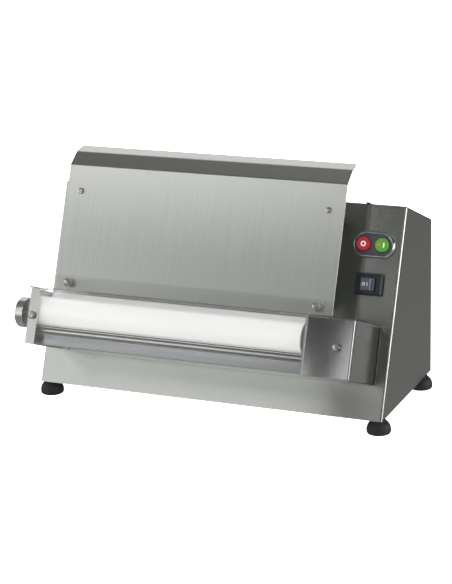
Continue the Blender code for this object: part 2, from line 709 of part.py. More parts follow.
def tangent_loop(first, second, radius, steps=14):
    """The outline of a belt's path round two equal pulleys."""
    angle = math.degrees(math.atan2(second[1] - first[1], second[0] - first[0]))
    return [
        *arc(first, radius, angle + 90, angle + 270, steps),
        *arc(second, radius, angle - 90, angle + 90, steps),
    ]


def drive():
    inner_loop = PULLEY_RADIUS + GAP
    belt_edges = (PULLEY_LEFT + 1 * MM, PULLEY_RIGHT - 1 * MM)
    plate(
        "drive_belt", tangent_loop(MOTOR_AXIS, REAR_AXIS, inner_loop + BELT), *belt_edges, SECTION, RUBBER,
        [tangent_loop(MOTOR_AXIS, REAR_AXIS, inner_loop)])

    pulley = rod(
        "motor_pulley", SECTION, MOTOR_AXIS, PULLEY_RADIUS, PULLEY_LEFT, PULLEY_RIGHT, CAST, sides=28)
    shaft = rod(
        "cut_output_shaft", SECTION, MOTOR_AXIS, SHAFT_RADIUS, 190 * MM, PULLEY_RIGHT + 4 * MM, None, CUTTERS)
    combine(pulley, helper(shaft), "UNION")
    carry(pivot("motor_axis", front_point(0, *MOTOR_AXIS)), pulley)

    centre = FACE @ Vector((0, *MOTOR_AXIS))
    y, z = centre.y - BODY_Y, centre.z
    reducer = block(
        "gear_reducer", SIDE,
        (y - 44 * MM, z - 50 * MM, 152 * MM), (y + 44 * MM, z + 46 * MM, 218 * MM), CAST)
    cut(reducer, shaft_hole(
        "reducer_bore", MOTOR_AXIS, SHAFT_RADIUS + 0.4 * MM, 186 * MM, 226 * MM))
    rod("drive_motor", SIDE, (y, z), 44 * MM, -30 * MM, 152 * MM - GAP, MOTOR_PAINT, sides=32)
    saddle_sheet = 3 * MM
    top = z - 50 * MM - GAP - saddle_sheet
    floor = SOLE_HEIGHT + 2.5 * MM + GAP
    saddle = [
        (y - 60 * MM, floor),
        (y - 46 * MM, floor),
        (y - 40 * MM, top),
        (y + 40 * MM, top),
        (y + 46 * MM, floor),
        (y + 60 * MM, floor),
    ]
    bent_sheet("motor_saddle", saddle[::-1], saddle_sheet, 100 * MM, 216 * MM, SIDE, STEEL)
    rod("motor_capacitor", SIDE, (222 * MM, 48 * MM), 20 * MM, -120 * MM, -30 * MM, GREY_PLASTIC)
    block(
        "control_relay", FLOOR,
        (-215 * MM, 120 * MM, floor), (-140 * MM, 200 * MM, floor + 82 * MM), GREY_PLASTIC)


# ---- Controls ----

def controls():
    centre = (BEZEL_CENTRE_X, BUTTON_U)
    outline = rounded(centre, BEZEL_SIZE, BEZEL_SIZE[1] / 2 - 0.1 * MM, 8)
    holes = [circle((x, BUTTON_U), BUTTON_RADIUS + 0.6 * MM) for x in BUTTON_X.values()]
    plate("button_bezel", outline, GAP, BEZEL_FACE, FACE, DARK_PLASTIC, holes)
    for name, x in BUTTON_X.items():
        look = RED_PLASTIC if name == "stop_button" else GREEN_PLASTIC
        button = rod(name, FACE, (x, BUTTON_U), BUTTON_RADIUS, -12 * MM, BUTTON_FACE, look)
        carry(pivot(name + "_axis", front_point(x, BUTTON_U, BUTTON_FACE)), button)
    half = 31 * MM
    block(
        "contact_block", FACE, (centre[0] - half, BUTTON_U - 16 * MM, -52 * MM),
        (centre[0] + half, BUTTON_U + 16 * MM, -18 * MM), GREY_PLASTIC)

    x, u = ROCKER_CENTRE
    half_w, half_h = ROCKER_WINDOW[0] / 2, ROCKER_WINDOW[1] / 2
    wall = 2.2 * MM
    frame = plate(
        "rocker_frame", rounded(ROCKER_CENTRE, ROCKER_FRAME, 3 * MM, 4), GAP, ROCKER_FACE, FACE, DARK_PLASTIC)
    body = block(
        "cut_switch_body", FACE, (x - half_w - wall, u - half_h - wall, -32 * MM),
        (x + half_w + wall, u + half_h + wall, 2 * MM), None, CUTTERS)
    combine(frame, helper(body), "UNION")
    cut(frame, box_cutter(
        "rocker_window", FACE, (x - half_w, u - half_h, -8 * MM), (x + half_w, u + half_h, 20 * MM)))
    half = 11.4 * MM
    paddle = [
        (-5 * MM, 2 * MM - half),
        (-5 * MM, half - 2 * MM),
        (1 * MM, half),
        (9.5 * MM, half),
        (8 * MM, 0),
        (9.5 * MM, -half),
        (1 * MM, -half),
    ]
    turn = Matrix.Rotation(-ROCKER_TILT, 2)
    tilted = [tuple(turn @ Vector(point) + Vector((0, x))) for point in paddle]
    height = ROCKER_WINDOW[1] / 2 - 0.6 * MM
    rocker = plate("power_rocker", tilted, u - height, u + height, PLAN, GREY_PLASTIC)
    carry(pivot("rocker_axis", front_point(x, u, 0)), rocker)


def shade_round_pieces():
    for obj in MACHINE.objects:
        if obj.type == "MESH":
            obj.data.shade_smooth()
            obj.data.set_sharp_from_angle(angle=math.radians(30))


def main():
    housing()
    feet()
    screw_holes = chute_and_guard()
    roller_box(screw_holes)
    gears = roller_gears()
    rear_roller(gears[0])
    front_roller()
    gear_axes = (
        ("idler_a_axis", IDLER_A_AXIS, gears[1]),
        ("idler_b_axis", IDLER_B_AXIS, gears[2]),
        ("front_gear_axis", FRONT_AXIS, gears[3]),
    )
    for name, axis, wheel in gear_axes:
        carry(pivot(name, front_point(0, *axis)), wheel)
    gap_adjuster()
    drive()
    controls()
    shade_round_pieces()


main()
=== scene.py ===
import json
import math
from contextlib import contextmanager

import bmesh
import bpy
from bpy.props import FloatProperty, FloatVectorProperty, PointerProperty
from mathutils import Matrix, Vector


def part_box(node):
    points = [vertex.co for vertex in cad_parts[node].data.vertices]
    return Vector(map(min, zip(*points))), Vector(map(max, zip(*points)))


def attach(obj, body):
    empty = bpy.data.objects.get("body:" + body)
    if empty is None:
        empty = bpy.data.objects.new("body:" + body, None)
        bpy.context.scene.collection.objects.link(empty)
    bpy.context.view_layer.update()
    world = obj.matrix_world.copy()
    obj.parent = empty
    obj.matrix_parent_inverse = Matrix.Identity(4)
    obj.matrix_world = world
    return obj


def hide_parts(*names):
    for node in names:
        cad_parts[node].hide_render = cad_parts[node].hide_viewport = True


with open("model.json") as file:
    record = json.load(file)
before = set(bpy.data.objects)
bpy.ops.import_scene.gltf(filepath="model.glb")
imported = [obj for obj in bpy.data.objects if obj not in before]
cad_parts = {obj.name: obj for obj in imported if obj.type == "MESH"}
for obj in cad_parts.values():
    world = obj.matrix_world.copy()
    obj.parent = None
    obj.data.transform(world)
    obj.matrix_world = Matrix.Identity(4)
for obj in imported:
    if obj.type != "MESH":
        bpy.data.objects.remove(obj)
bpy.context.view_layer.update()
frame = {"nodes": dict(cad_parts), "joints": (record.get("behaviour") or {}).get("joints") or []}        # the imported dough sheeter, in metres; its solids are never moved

bl_info = {
    "name": "Dough Sheeter Finish",
    "version": (1, 0, 0),
    "blender": (4, 5, 0),
    "location": "View3D > Sidebar > Sheeter",
    "description": "Sheet metal, guard, rollers and controls for a countertop dough sheeter",
    "category": "Object",
}

MM = 0.001

# ---- Frames of the machine: x runs along the leaning front, u up it and n out of it ----

X_AXIS = Vector((1, 0, 0))
OUT = next(Vector(joint["axis"]) for joint in frame["joints"] if joint["name"] == "roller_gap_slide")
UP = OUT.cross(X_AXIS)
LEAN = math.atan2(UP.y, UP.z)
PANEL_LOW, PANEL_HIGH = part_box("side_panel_left")[0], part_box("side_panel_right")[1]
FOOT_OF_FRONT = Vector(((PANEL_LOW.x + PANEL_HIGH.x) / 2, PANEL_LOW.y, PANEL_LOW.z))


# Places that no CAD box gives by itself, up and out of the front
CHUTE_FOLDS = ((360.5 * MM, None), (385 * MM, 43 * MM), (398 * MM, 24.5 * MM))
FLANGE_FACE = 70.5 * MM          # front of the guard's flange
GUARD_TOP = 149.8 * MM           # top of the guard's front sheet
FLANGE_RIGHT = 209 * MM          # the flange stops short of the gear cover
TIE_RIDGE = 67.5 * MM            # fold along the tie plate's front
SCREW_HOLE = 2.9 * MM


def axes(first, second, third, origin=FOOT_OF_FRONT):
    matrix = Matrix((first, second, third)).transposed().to_4x4()
    matrix.translation = origin
    return matrix


FACE = axes(X_AXIS, UP, OUT)                                   # local X along, Y up the front, Z out
BRACKET = axes(UP, OUT, X_AXIS)                                # local X up the front, Y out, Z along
ALONG = axes(UP, OUT, X_AXIS)                                  # turned pieces on the rollers' axes
UPRIGHT = axes(X_AXIS, Vector((0, 1, 0)), Vector((0, 0, 1)))   # local X along, Y back, Z up
BACK = axes(Vector((-1, 0, 0)), Vector((0, 0, 1)), Vector((0, 1, 0)))


def span(node, matrix=FACE):
    """Lowest and highest corner of a CAD node along a frame's axes."""
    inverse = matrix.inverted()
    points = [inverse @ vertex.co for vertex in frame["nodes"][node].data.vertices]
    low = Vector([min(point[axis] for point in points) for axis in range(3)])
    high = Vector([max(point[axis] for point in points) for axis in range(3)])
    return low, high


def middle_of(node, matrix=FACE):
    low, high = span(node, matrix)
    return (low + high) / 2


# ---- Settings ----

class SheeterSizes(bpy.types.PropertyGroup):
    """Radii that the folded sheets and turned pieces are finished with."""
    housing_bend: FloatProperty(
        name="Housing bend", description="Outside radius of the housing's folds",
        default=3.4 * MM, min=0.5 * MM, max=6 * MM, unit="LENGTH")
    chute_bend: FloatProperty(
        name="Chute bend", description="Width of each fold near the top of the chute",
        default=2.0 * MM, min=0.5 * MM, max=6 * MM, unit="LENGTH")
    chute_corner: FloatProperty(
        name="Chute corner", description="Radius of the chute's two top corners",
        default=5.0 * MM, min=1 * MM, max=20 * MM, unit="LENGTH")
    guard_bend: FloatProperty(
        name="Guard bend", description="Radius of the clear guard's folds",
        default=2.6 * MM, min=1 * MM, max=6 * MM, unit="LENGTH")
    cover_bend: FloatProperty(
        name="Cover bend", description="Radius of the gear cover's folds",
        default=2.0 * MM, min=0.3 * MM, max=4 * MM, unit="LENGTH")
    sheet_edge: FloatProperty(
        name="Sheet edge", description="Broken edge of every cut sheet",
        default=0.25 * MM, min=0.05 * MM, max=0.6 * MM, unit="LENGTH")
    roller_chamfer: FloatProperty(
        name="Roller chamfer", description="Chamfer at the ends of the rollers",
        default=1.2 * MM, min=0.2 * MM, max=3 * MM, unit="LENGTH")


def colour_setting(name, description, default):
    return FloatVectorProperty(
        name=name, description=description, default=default, min=0, max=1, size=3, subtype="COLOR")


class SheeterColours(bpy.types.PropertyGroup):
    """Base colours of the machine's finishes and the strength of its studio light."""
    housing: colour_setting("Housing", "Fine-grained stainless of the housing", (0.54, 0.555, 0.525))
    chute: colour_setting("Chute", "Brushed stainless of the feed chute", (0.69, 0.71, 0.675))
    cover: colour_setting("Cover", "Brushed stainless of the gear cover", (0.60, 0.61, 0.60))
    # Set darker than stainless: painted shade for the plate under the rollers and its tilted lower face.
    bracket: colour_setting("Bracket", "Stainless of the left bracket", (0.82, 0.79, 0.77))
    tie: colour_setting("Tie plate", "Stainless of the plate under the rollers", (0.38, 0.39, 0.40))
    roller: colour_setting("Rollers", "White acetal", (0.88, 0.88, 0.865))
    # Tinted darker than the clear sheet: painted shade along the guard's fold lines.
    guard_fold_shade: colour_setting("Guard edge", "Folds of the clear guard", (0.84, 0.82, 0.86))
    bezel: colour_setting("Button bezel", "Slate plastic round the push buttons", (0.048, 0.052, 0.070))
    stop: colour_setting("Stop button", "Red moulded plastic", (0.42, 0.016, 0.024))
    start: colour_setting("Start button", "Green moulded plastic", (0.075, 0.29, 0.022))
    light: FloatProperty(
        name="Studio light", description="Strength of every studio panel",
        default=1.0, min=0.1, max=5.0, subtype="FACTOR")


# ---- Working in edit mode ----

def select_only(*objs):
    bpy.ops.object.select_all(action="DESELECT")
    for obj in objs:
        obj.select_set(True)
    bpy.context.view_layer.objects.active = objs[0]


@contextmanager
def editing(obj):
    select_only(obj)
    bpy.ops.object.mode_set(mode="EDIT")
    bpy.ops.mesh.select_all(action="DESELECT")
    try:
        yield
    finally:
        bpy.ops.object.mode_set(mode="OBJECT")


def choose(kind, test):
    """Select the vertices, edges or faces that pass the test; kind is VERT, EDGE or FACE."""
    bpy.ops.mesh.select_mode(type=kind)
    bpy.ops.mesh.select_all(action="DESELECT")
    mesh = bpy.context.edit_object.data
    shape = bmesh.from_edit_mesh(mesh)
    items = {"VERT": shape.verts, "EDGE": shape.edges, "FACE": shape.faces}[kind]
    found = [item for item in items if test(item)]
    if not found:
        raise RuntimeError(f"nothing to select on {bpy.context.edit_object.name}")
    for item in found:
        item.select_set(True)
    shape.select_flush_mode()
    bmesh.update_edit_mesh(mesh)


def near(first, second):
    return abs(first - second) < 0.02 * MM


def facing(direction):
    direction = Vector(direction)
    return lambda face: face.normal.dot(direction) > 0.99


def outward():
    bpy.ops.mesh.select_all(action="SELECT")
    bpy.ops.mesh.remove_doubles(threshold=0.002 * MM)
    bpy.ops.mesh.normals_make_consistent(inside=False)


def named(name):
    obj = bpy.context.object
    obj.name = name
    obj.data.name = name
    bpy.ops.object.transform_apply(location=True, rotation=True, scale=True)
    return obj


def start_box(name, low, high):
    low, high = Vector(low), Vector(high)
    bpy.ops.object.select_all(action="DESELECT")
    bpy.ops.mesh.primitive_cube_add(size=1, location=(low + high) / 2)
    bpy.context.object.scale = high - low
    return named(name)


def start_disc(name, radius, height, sides):
    bpy.ops.object.select_all(action="DESELECT")
    bpy.ops.mesh.primitive_circle_add(vertices=sides, radius=radius, fill_type="NGON", location=(0, 0, height))
    return named(name)


def turned(name, profile, sides=48):
    """Grow a turned solid along Z from a disc, ring by ring; profile lists (radius, height)."""
    obj = start_disc(name, *profile[0], sides)
    with editing(obj):
        bpy.ops.mesh.select_all(action="SELECT")
        for (radius, height), (next_radius, next_height) in zip(profile, profile[1:]):
            bpy.ops.mesh.extrude_region_move(TRANSFORM_OT_translate={"value": (0, 0, next_height - height)})
            share = next_radius / radius
            bpy.ops.transform.resize(value=(share, share, 1), center_override=(0, 0, next_height))
        outward()
    return obj


def ring(name, inner, outer, low, high, chamfer, sides=64, chamfer_steps=2):
    """Spin a rectangular section with broken corners about Z."""
    bpy.ops.object.select_all(action="DESELECT")
    bpy.ops.mesh.primitive_plane_add(
        size=1, location=((inner + outer) / 2, 0, (low + high) / 2), rotation=(math.pi / 2, 0, 0))
    bpy.context.object.scale = (outer - inner, high - low, 1)
    obj = named(name)
    with editing(obj):
        choose("VERT", lambda vert: near(vert.co.x, outer))
        bpy.ops.mesh.bevel(offset=chamfer, segments=chamfer_steps, affect="VERTICES")
        bpy.ops.mesh.select_all(action="SELECT")
        bpy.ops.mesh.delete(type="ONLY_FACE")
        bpy.ops.mesh.select_all(action="SELECT")
        bpy.ops.mesh.spin(steps=sides, angle=2 * math.pi, center=(0, 0, 0), axis=(0, 0, 1), use_auto_merge=True)
        outward()
    return obj


def folded_sheet(name, left, right, path, bend=0.0, bend_steps=5):
    """Extrude a strip edge by edge along path, in local Y and Z, and round its folds.

    Its outside is on the left of the path.
    """
    first, second = Vector(path[0]), Vector(path[1])
    run = second - first
    centre = (first + second) / 2
    bpy.ops.object.select_all(action="DESELECT")
    bpy.ops.mesh.primitive_plane_add(
        size=1, location=((left + right) / 2, *centre), rotation=(math.atan2(run.y, run.x), 0, 0))
    bpy.context.object.scale = (right - left, run.length, 1)
    obj = named(name)
    with editing(obj):
        choose("EDGE", lambda edge: all(near(v.co.y, second.x) and near(v.co.z, second.y) for v in edge.verts))
        for here, there in zip(path[1:], path[2:]):
            step = (0, there[0] - here[0], there[1] - here[1])
            bpy.ops.mesh.extrude_region_move(TRANSFORM_OT_translate={"value": step})
        if bend:
            folds = path[1:-1]
            choose("EDGE", lambda edge: any(
                all(near(v.co.y, fold[0]) and near(v.co.z, fold[1]) for v in edge.verts) for fold in folds))
            bpy.ops.mesh.bevel(offset=bend, segments=bend_steps, affect="EDGES")
    return obj


# ---- Modifiers, always applied ----

def modified(obj, kind, **settings):
    select_only(obj)
    modifier = obj.modifiers.new(kind.lower(), kind)
    for name, value in settings.items():
        setattr(modifier, name, value)
    bpy.ops.object.modifier_apply(modifier=modifier.name)
    return obj


def thicken(obj, sheet):
    return modified(obj, "SOLIDIFY", thickness=sheet, offset=-1, use_even_offset=True)


def broken_edges(obj, width, steps=2, angle=40):
    """Break the sharp edges and keep the flat faces flat."""
    modified(
        obj, "BEVEL", width=width, segments=steps, limit_method="ANGLE", angle_limit=math.radians(angle),
        use_clamp_overlap=True, miter_outer="MITER_ARC")
    return smooth(obj)


def smooth(obj, angle=35):
    select_only(obj)
    bpy.ops.object.shade_smooth_by_angle(angle=math.radians(angle))
    return modified(obj, "WEIGHTED_NORMAL", mode="FACE_AREA", weight=100, keep_sharp=True)


def cut_with(obj, tool, operation="DIFFERENCE"):
    modified(obj, "BOOLEAN", object=tool, operation=operation, solver="EXACT")
    bpy.data.objects.remove(tool, do_unlink=True)
    return obj


def cut_box(obj, low, high, matrix=None, rounding=0.0):
    tool = start_box("tool", low, high)
    if rounding:
        with editing(tool):
            choose("EDGE", lambda edge: near(edge.verts[0].co.x, edge.verts[1].co.x)
                   and near(edge.verts[0].co.y, edge.verts[1].co.y))
            bpy.ops.mesh.bevel(offset=rounding, segments=4, affect="EDGES")
    if matrix:
        settle(tool, matrix)
    return cut_with(obj, tool)


def cut_round(obj, centre, radius, low, high, matrix=None, sides=32):
    bpy.ops.object.select_all(action="DESELECT")
    bpy.ops.mesh.primitive_cylinder_add(
        vertices=sides, radius=radius, depth=high - low, location=(*centre, (low + high) / 2))
    tool = named("tool")
    if matrix:
        settle(tool, matrix)
    return cut_with(obj, tool)


# ---- Placing ----

def settle(obj, matrix):
    """Take the piece to its place and leave the place in its mesh."""
    select_only(obj)
    obj.matrix_world = matrix
    bpy.ops.object.transform_apply(location=True, rotation=True, scale=True)
    return obj


def copy_of(obj, name):
    select_only(obj)
    bpy.ops.object.duplicate(linked=False)
    made = bpy.context.object
    made.name = name
    made.data.name = name
    return made


def joined(name, *objs):
    select_only(*objs)
    bpy.ops.object.join()
    made = bpy.context.object
    made.name = name
    made.data.name = name
    return made


def grain_map(obj, grain, other):
    """Lay a map on the piece: its first direction crosses the grain, its second follows it, both in metres."""
    mesh = obj.data
    layer = mesh.uv_layers.get("grain") or mesh.uv_layers.new(name="grain")
    for face in mesh.polygons:
        direction = Vector(grain) if abs(face.normal.dot(Vector(grain))) < 0.9 else Vector(other)
        follow = (direction - face.normal * direction.dot(face.normal)).normalized()
        cross = follow.cross(face.normal)
        for loop in face.loop_indices:
            place = mesh.vertices[mesh.loops[loop].vertex_index].co
            layer.data[loop].uv = (place.dot(cross), place.dot(follow))
    return obj


def dress(obj, look, body, *nodes):
    """Give the piece its finish and its body, and let it stand for CAD nodes."""
    obj.data.materials.clear()
    obj.data.materials.append(look)
    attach(obj, body)
    if nodes:
        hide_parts(*nodes)
    return obj


# ---- Finishes ----

class Finish:
    """A material under construction, with short calls for the nodes that the finishes share."""

    def __init__(self, name, colour, roughness, metallic=0.0):
        self.material = bpy.data.materials.new(name)
        self.material.use_nodes = True
        self.nodes = self.material.node_tree.nodes
        self.links = self.material.node_tree.links
        self.shader = self.nodes["Principled BSDF"]
        self.set("Base Color", (*colour, 1))
        self.set("Roughness", roughness)
        self.set("Metallic", metallic)
        self.colour, self.roughness = colour, roughness

    def set(self, socket, value):
        self.shader.inputs[socket].default_value = value
        return self

    def node(self, kind, **settings):
        made = self.nodes.new(kind)
        for name, value in settings.items():
            setattr(made, name, value)
        return made

    def place(self, scale=(1, 1, 1), location=(0, 0, 0), rotation=(0, 0, 0), source="Object"):
        mapping = self.node("ShaderNodeMapping")
        if source == "grain":
            coordinate = self.node("ShaderNodeUVMap", uv_map="grain").outputs["UV"]
        else:
            coordinate = self.node("ShaderNodeTexCoord").outputs[source]
        self.links.new(coordinate, mapping.inputs["Vector"])
        for name, value in (("Scale", scale), ("Location", location), ("Rotation", rotation)):
            mapping.inputs[name].default_value = value
        return mapping.outputs["Vector"]

    def noise(self, vector, scale=1.0, detail=3.0, roughness=0.55):
        texture = self.node("ShaderNodeTexNoise")
        self.links.new(vector, texture.inputs["Vector"])
        texture.inputs["Scale"].default_value = scale
        texture.inputs["Detail"].default_value = detail
        texture.inputs["Roughness"].default_value = roughness
        return texture.outputs["Fac"]

    def between(self, factor, low, high, socket="Roughness"):
        """Drive a socket between two numbers with a 0 to 1 pattern."""
        spread = self.node("ShaderNodeMapRange")
        self.links.new(factor, spread.inputs["Value"])
        spread.inputs["From Min"].default_value, spread.inputs["From Max"].default_value = 0.3, 0.7
        spread.inputs["To Min"].default_value, spread.inputs["To Max"].default_value = low, high
        self.links.new(spread.outputs["Result"], self.shader.inputs[socket])
        return self

    def tint(self, factor, dark, light):
        """Vary the base colour between two multiples of itself."""
        ramp = self.node("ShaderNodeValToRGB")
        for element, place, share in zip(ramp.color_ramp.elements, (0.32, 0.68), (dark, light)):
            element.position = place
            element.color = (*(min(1, channel * share) for channel in self.colour), 1)
        self.links.new(factor, ramp.inputs["Fac"])
        self.links.new(ramp.outputs["Color"], self.shader.inputs["Base Color"])
        return self

    def bump(self, height, strength, distance):
        bump = self.node("ShaderNodeBump")
        bump.inputs["Strength"].default_value = strength
        bump.inputs["Distance"].default_value = distance
        self.links.new(height, bump.inputs["Height"])
        self.links.new(bump.outputs["Normal"], self.shader.inputs["Normal"])
        return self

    def along_grain(self, amount):
        """Stretch highlights across the brushing."""
        tangent = self.node("ShaderNodeTangent", direction_type="UV_MAP", uv_map="grain")
        self.links.new(tangent.outputs["Tangent"], self.shader.inputs["Tangent"])
        return self.set("Anisotropic", amount)


def brushed(name, colour, roughness, stretch, streak=0.5 * MM, contrast=0.05, depth=0.02):
    """Rolled or brushed stainless: fine scratches along the grain over wider, fainter bands."""
    finish = Finish(name, colour, roughness, 1.0)
    fine = finish.noise(finish.place((1 / streak, 30, 1), source="grain"), detail=2.0)
    wide = finish.noise(finish.place((0.16 / streak, 6, 1), source="grain"), detail=3.0)
    finish.tint(wide, 1 - contrast, 1 + contrast)
    finish.between(fine, roughness * 0.88, roughness * 1.12)
    finish.bump(fine, depth, 0.05 * MM)
    return finish.along_grain(stretch).material


def machined(name, colour, roughness, scale=900, metallic=1.0):
    """Turned or milled metal with fine tool marks."""
    finish = Finish(name, colour, roughness, metallic)
    marks = finish.noise(finish.place((scale, scale * 0.2, scale * 0.2)), detail=2.0)
    cloud = finish.noise(finish.place(), scale=40, detail=4.0)
    finish.tint(cloud, 0.92, 1.05)
    finish.between(marks, roughness * 0.85, roughness * 1.2)
    return finish.bump(marks, 0.08, 0.05 * MM).material


def turned_metal(name, colour, roughness, centre, direction):
    """Metal with concentric tool marks about one axis."""
    finish = Finish(name, colour, roughness, 1.0)
    rings = finish.node("ShaderNodeTexWave", wave_type="RINGS", rings_direction=direction)
    finish.links.new(finish.place(location=[-value for value in centre]), rings.inputs["Vector"])
    for socket, value in (("Scale", 700), ("Distortion", 3.0), ("Detail", 3.0), ("Detail Scale", 0.4)):
        rings.inputs[socket].default_value = value
    cloud = finish.noise(finish.place(), scale=60, detail=4.0)
    finish.tint(cloud, 0.9, 1.05)
    finish.between(rings.outputs["Fac"], roughness * 0.8, roughness * 1.25)
    return finish.bump(rings.outputs["Fac"], 0.12, 0.05 * MM).material


def moulded(name, colour, roughness, grain=1400, depth=0.15, spread=0.08, specular=0.5):
    """Moulded plastic: a fine spark-eroded texture and slightly uneven colour."""
    finish = Finish(name, colour, roughness)
    finish.set("Specular IOR Level", specular)
    pits = finish.noise(finish.place(), scale=grain, detail=2.0)
    cloud = finish.noise(finish.place(), scale=35, detail=3.0)
    finish.tint(cloud, 1 - spread, 1 + spread)
    finish.between(pits, roughness * 0.85, roughness * 1.15)
    return finish.bump(pits, depth, 0.05 * MM).material


def white_acetal(colour):
    """Turned white plastic: faint lathe marks along the roller under a soft gloss."""
    finish = Finish("white_acetal", colour, 0.34)
    finish.set("IOR", 1.48)
    marks = finish.noise(finish.place((900, 12, 12)), detail=2.0)
    cloud = finish.noise(finish.place((6, 30, 30)), detail=3.0)
    finish.tint(cloud, 0.985, 1.01)
    finish.between(marks, 0.28, 0.40)
    return finish.bump(marks, 0.05, 0.05 * MM).material


def rubber(name, colour):
    finish = Finish(name, colour, 0.62)
    finish.set("Specular IOR Level", 0.45)
    dust = finish.noise(finish.place(), scale=90, detail=5.0)
    pits = finish.noise(finish.place(), scale=900, detail=2.0)
    finish.tint(dust, 0.75, 1.45)
    finish.between(dust, 0.50, 0.72)
    return finish.bump(pits, 0.2, 0.08 * MM).material


def clear_sheet(name, tint, least, most):
    """Clear plastic sheet: see-through, with the gloss of its surface laid over by Fresnel."""
    finish = Finish(name, tint, 0.06)
    smears = finish.noise(finish.place(), scale=14, detail=4.0)
    through = finish.node("ShaderNodeBsdfTransparent")
    through.inputs["Color"].default_value = (*tint, 1)
    gloss = finish.node("ShaderNodeBsdfAnisotropic", distribution="GGX")
    spread = finish.node("ShaderNodeMapRange")
    spread.inputs["To Min"].default_value, spread.inputs["To Max"].default_value = 0.03, 0.10
    finish.links.new(smears, spread.inputs["Value"])
    finish.links.new(spread.outputs["Result"], gloss.inputs["Roughness"])
    fresnel = finish.node("ShaderNodeFresnel")
    fresnel.inputs["IOR"].default_value = 1.5
    share = finish.node("ShaderNodeMapRange")
    share.inputs["To Min"].default_value, share.inputs["To Max"].default_value = least, most
    finish.links.new(fresnel.outputs["Fac"], share.inputs["Value"])
    mix = finish.node("ShaderNodeMixShader")
    finish.links.new(share.outputs["Result"], mix.inputs["Fac"])
    finish.links.new(through.outputs["BSDF"], mix.inputs[1])
    finish.links.new(gloss.outputs["BSDF"], mix.inputs[2])
    finish.links.new(mix.outputs["Shader"], finish.nodes["Material Output"].inputs["Surface"])
    finish.nodes.remove(finish.shader)
    return finish.material


LOOKS = {}


def make_looks(colours):
    """Every finish of the machine, by name."""
    knob = middle_of("adjusting_knob", UPRIGHT) + FOOT_OF_FRONT
    LOOKS.update({
        "housing": brushed("fine_grain_stainless", colours.housing, 0.22, 0.97, 0.3 * MM, 0.012, 0.004),
        "chute": brushed("brushed_chute_stainless", colours.chute, 0.37, 0.82, 0.6 * MM, 0.03, 0.02),
        "cover": brushed("brushed_cover_stainless", colours.cover, 0.12, 0.60, 0.3 * MM, 0.012, 0.004),
        "cover_side": brushed("cover_side_stainless", colours.cover, 0.31, 0.55, 0.4 * MM, 0.02, 0.01),
        "bracket": brushed("bracket_stainless", colours.bracket, 0.38, 0.70, 0.4 * MM, 0.02, 0.01),
        # The tie plate's dark base colour is painted shade.
        "tie": brushed("tie_plate_shaded_stainless", colours.tie, 0.34, 0.60, 0.4 * MM, 0.05, 0.01),
        "rear": brushed("rear_cover_stainless", colours.cover, 0.36, 0.70, 0.5 * MM, 0.04, 0.02),
        "knob": turned_metal("turned_knob_steel", (0.70, 0.70, 0.695), 0.24, knob, "X"),
        "screw": machined("screw_steel", (0.66, 0.65, 0.62), 0.24),
        "steel": machined("machined_steel", (0.52, 0.52, 0.51), 0.34),
        "zinc": machined("zinc_plated_steel", (0.58, 0.58, 0.56), 0.40, 120),
        "cast": machined("cast_aluminium", (0.55, 0.56, 0.57), 0.55, 500),
        "bronze": machined("sintered_bronze", (0.50, 0.33, 0.16), 0.45, 1600),
        "chrome": machined("bezel_ring_metal", (0.80, 0.81, 0.83), 0.22),
        "acetal": white_acetal(colours.roller),
        "gear_plastic": moulded("gear_acetal", (0.80, 0.80, 0.77), 0.42),
        "scraper": moulded("scraper_plastic", (0.075, 0.078, 0.074), 0.34, 900, 0.05),
        "bezel": moulded("bezel_plastic", colours.bezel, 0.38),
        "black_plastic": moulded("switch_plastic", (0.009, 0.010, 0.014), 0.24, specular=1.0),
        "rocker": moulded("rocker_plastic", (0.060, 0.072, 0.105), 0.30, specular=0.8),
        "rib": moulded("grip_rib_plastic", (0.30, 0.32, 0.37), 0.28),
        "grey_plastic": moulded("grey_plastic", (0.20, 0.21, 0.22), 0.50),
        "stop": moulded("stop_button_plastic", colours.stop, 0.30, 1400, 0.05, 0.03),
        "start": moulded("start_button_plastic", colours.start, 0.30, 1400, 0.05, 0.03),
        "mark": moulded("white_mark_plastic", (0.82, 0.82, 0.80), 0.40, 1400, 0.05, 0.02),
        "amber": moulded("amber_lens_plastic", (0.75, 0.16, 0.02), 0.18, 1400, 0.02, 0.02),
        "gland": moulded("gland_plastic", (0.020, 0.020, 0.022), 0.45),
        "motor": moulded("motor_paint", (0.07, 0.10, 0.16), 0.42, 500, 0.25),
        "rubber": rubber("foot_rubber", (0.011, 0.011, 0.012)),
        "belt": rubber("belt_rubber", (0.015, 0.015, 0.015)),
        "clear": clear_sheet("clear_polycarbonate", (0.996, 0.999, 0.998), 0.0, 0.5),
        # The guard's folds get a darker tint than the sheet: painted shade along the fold lines.
        "clear_fold_shade": clear_sheet("polycarbonate_fold_shade", colours.guard_fold_shade, 0.05, 1.0),
        # Dark tint on the guard's rims: painted shade along its edges.
        "clear_rim_shade": clear_sheet("polycarbonate_rim_shade", (0.24, 0.24, 0.26), 0.10, 0.9),
        "spacer": moulded("spacer_nylon", (0.30, 0.31, 0.29), 0.50),
    })


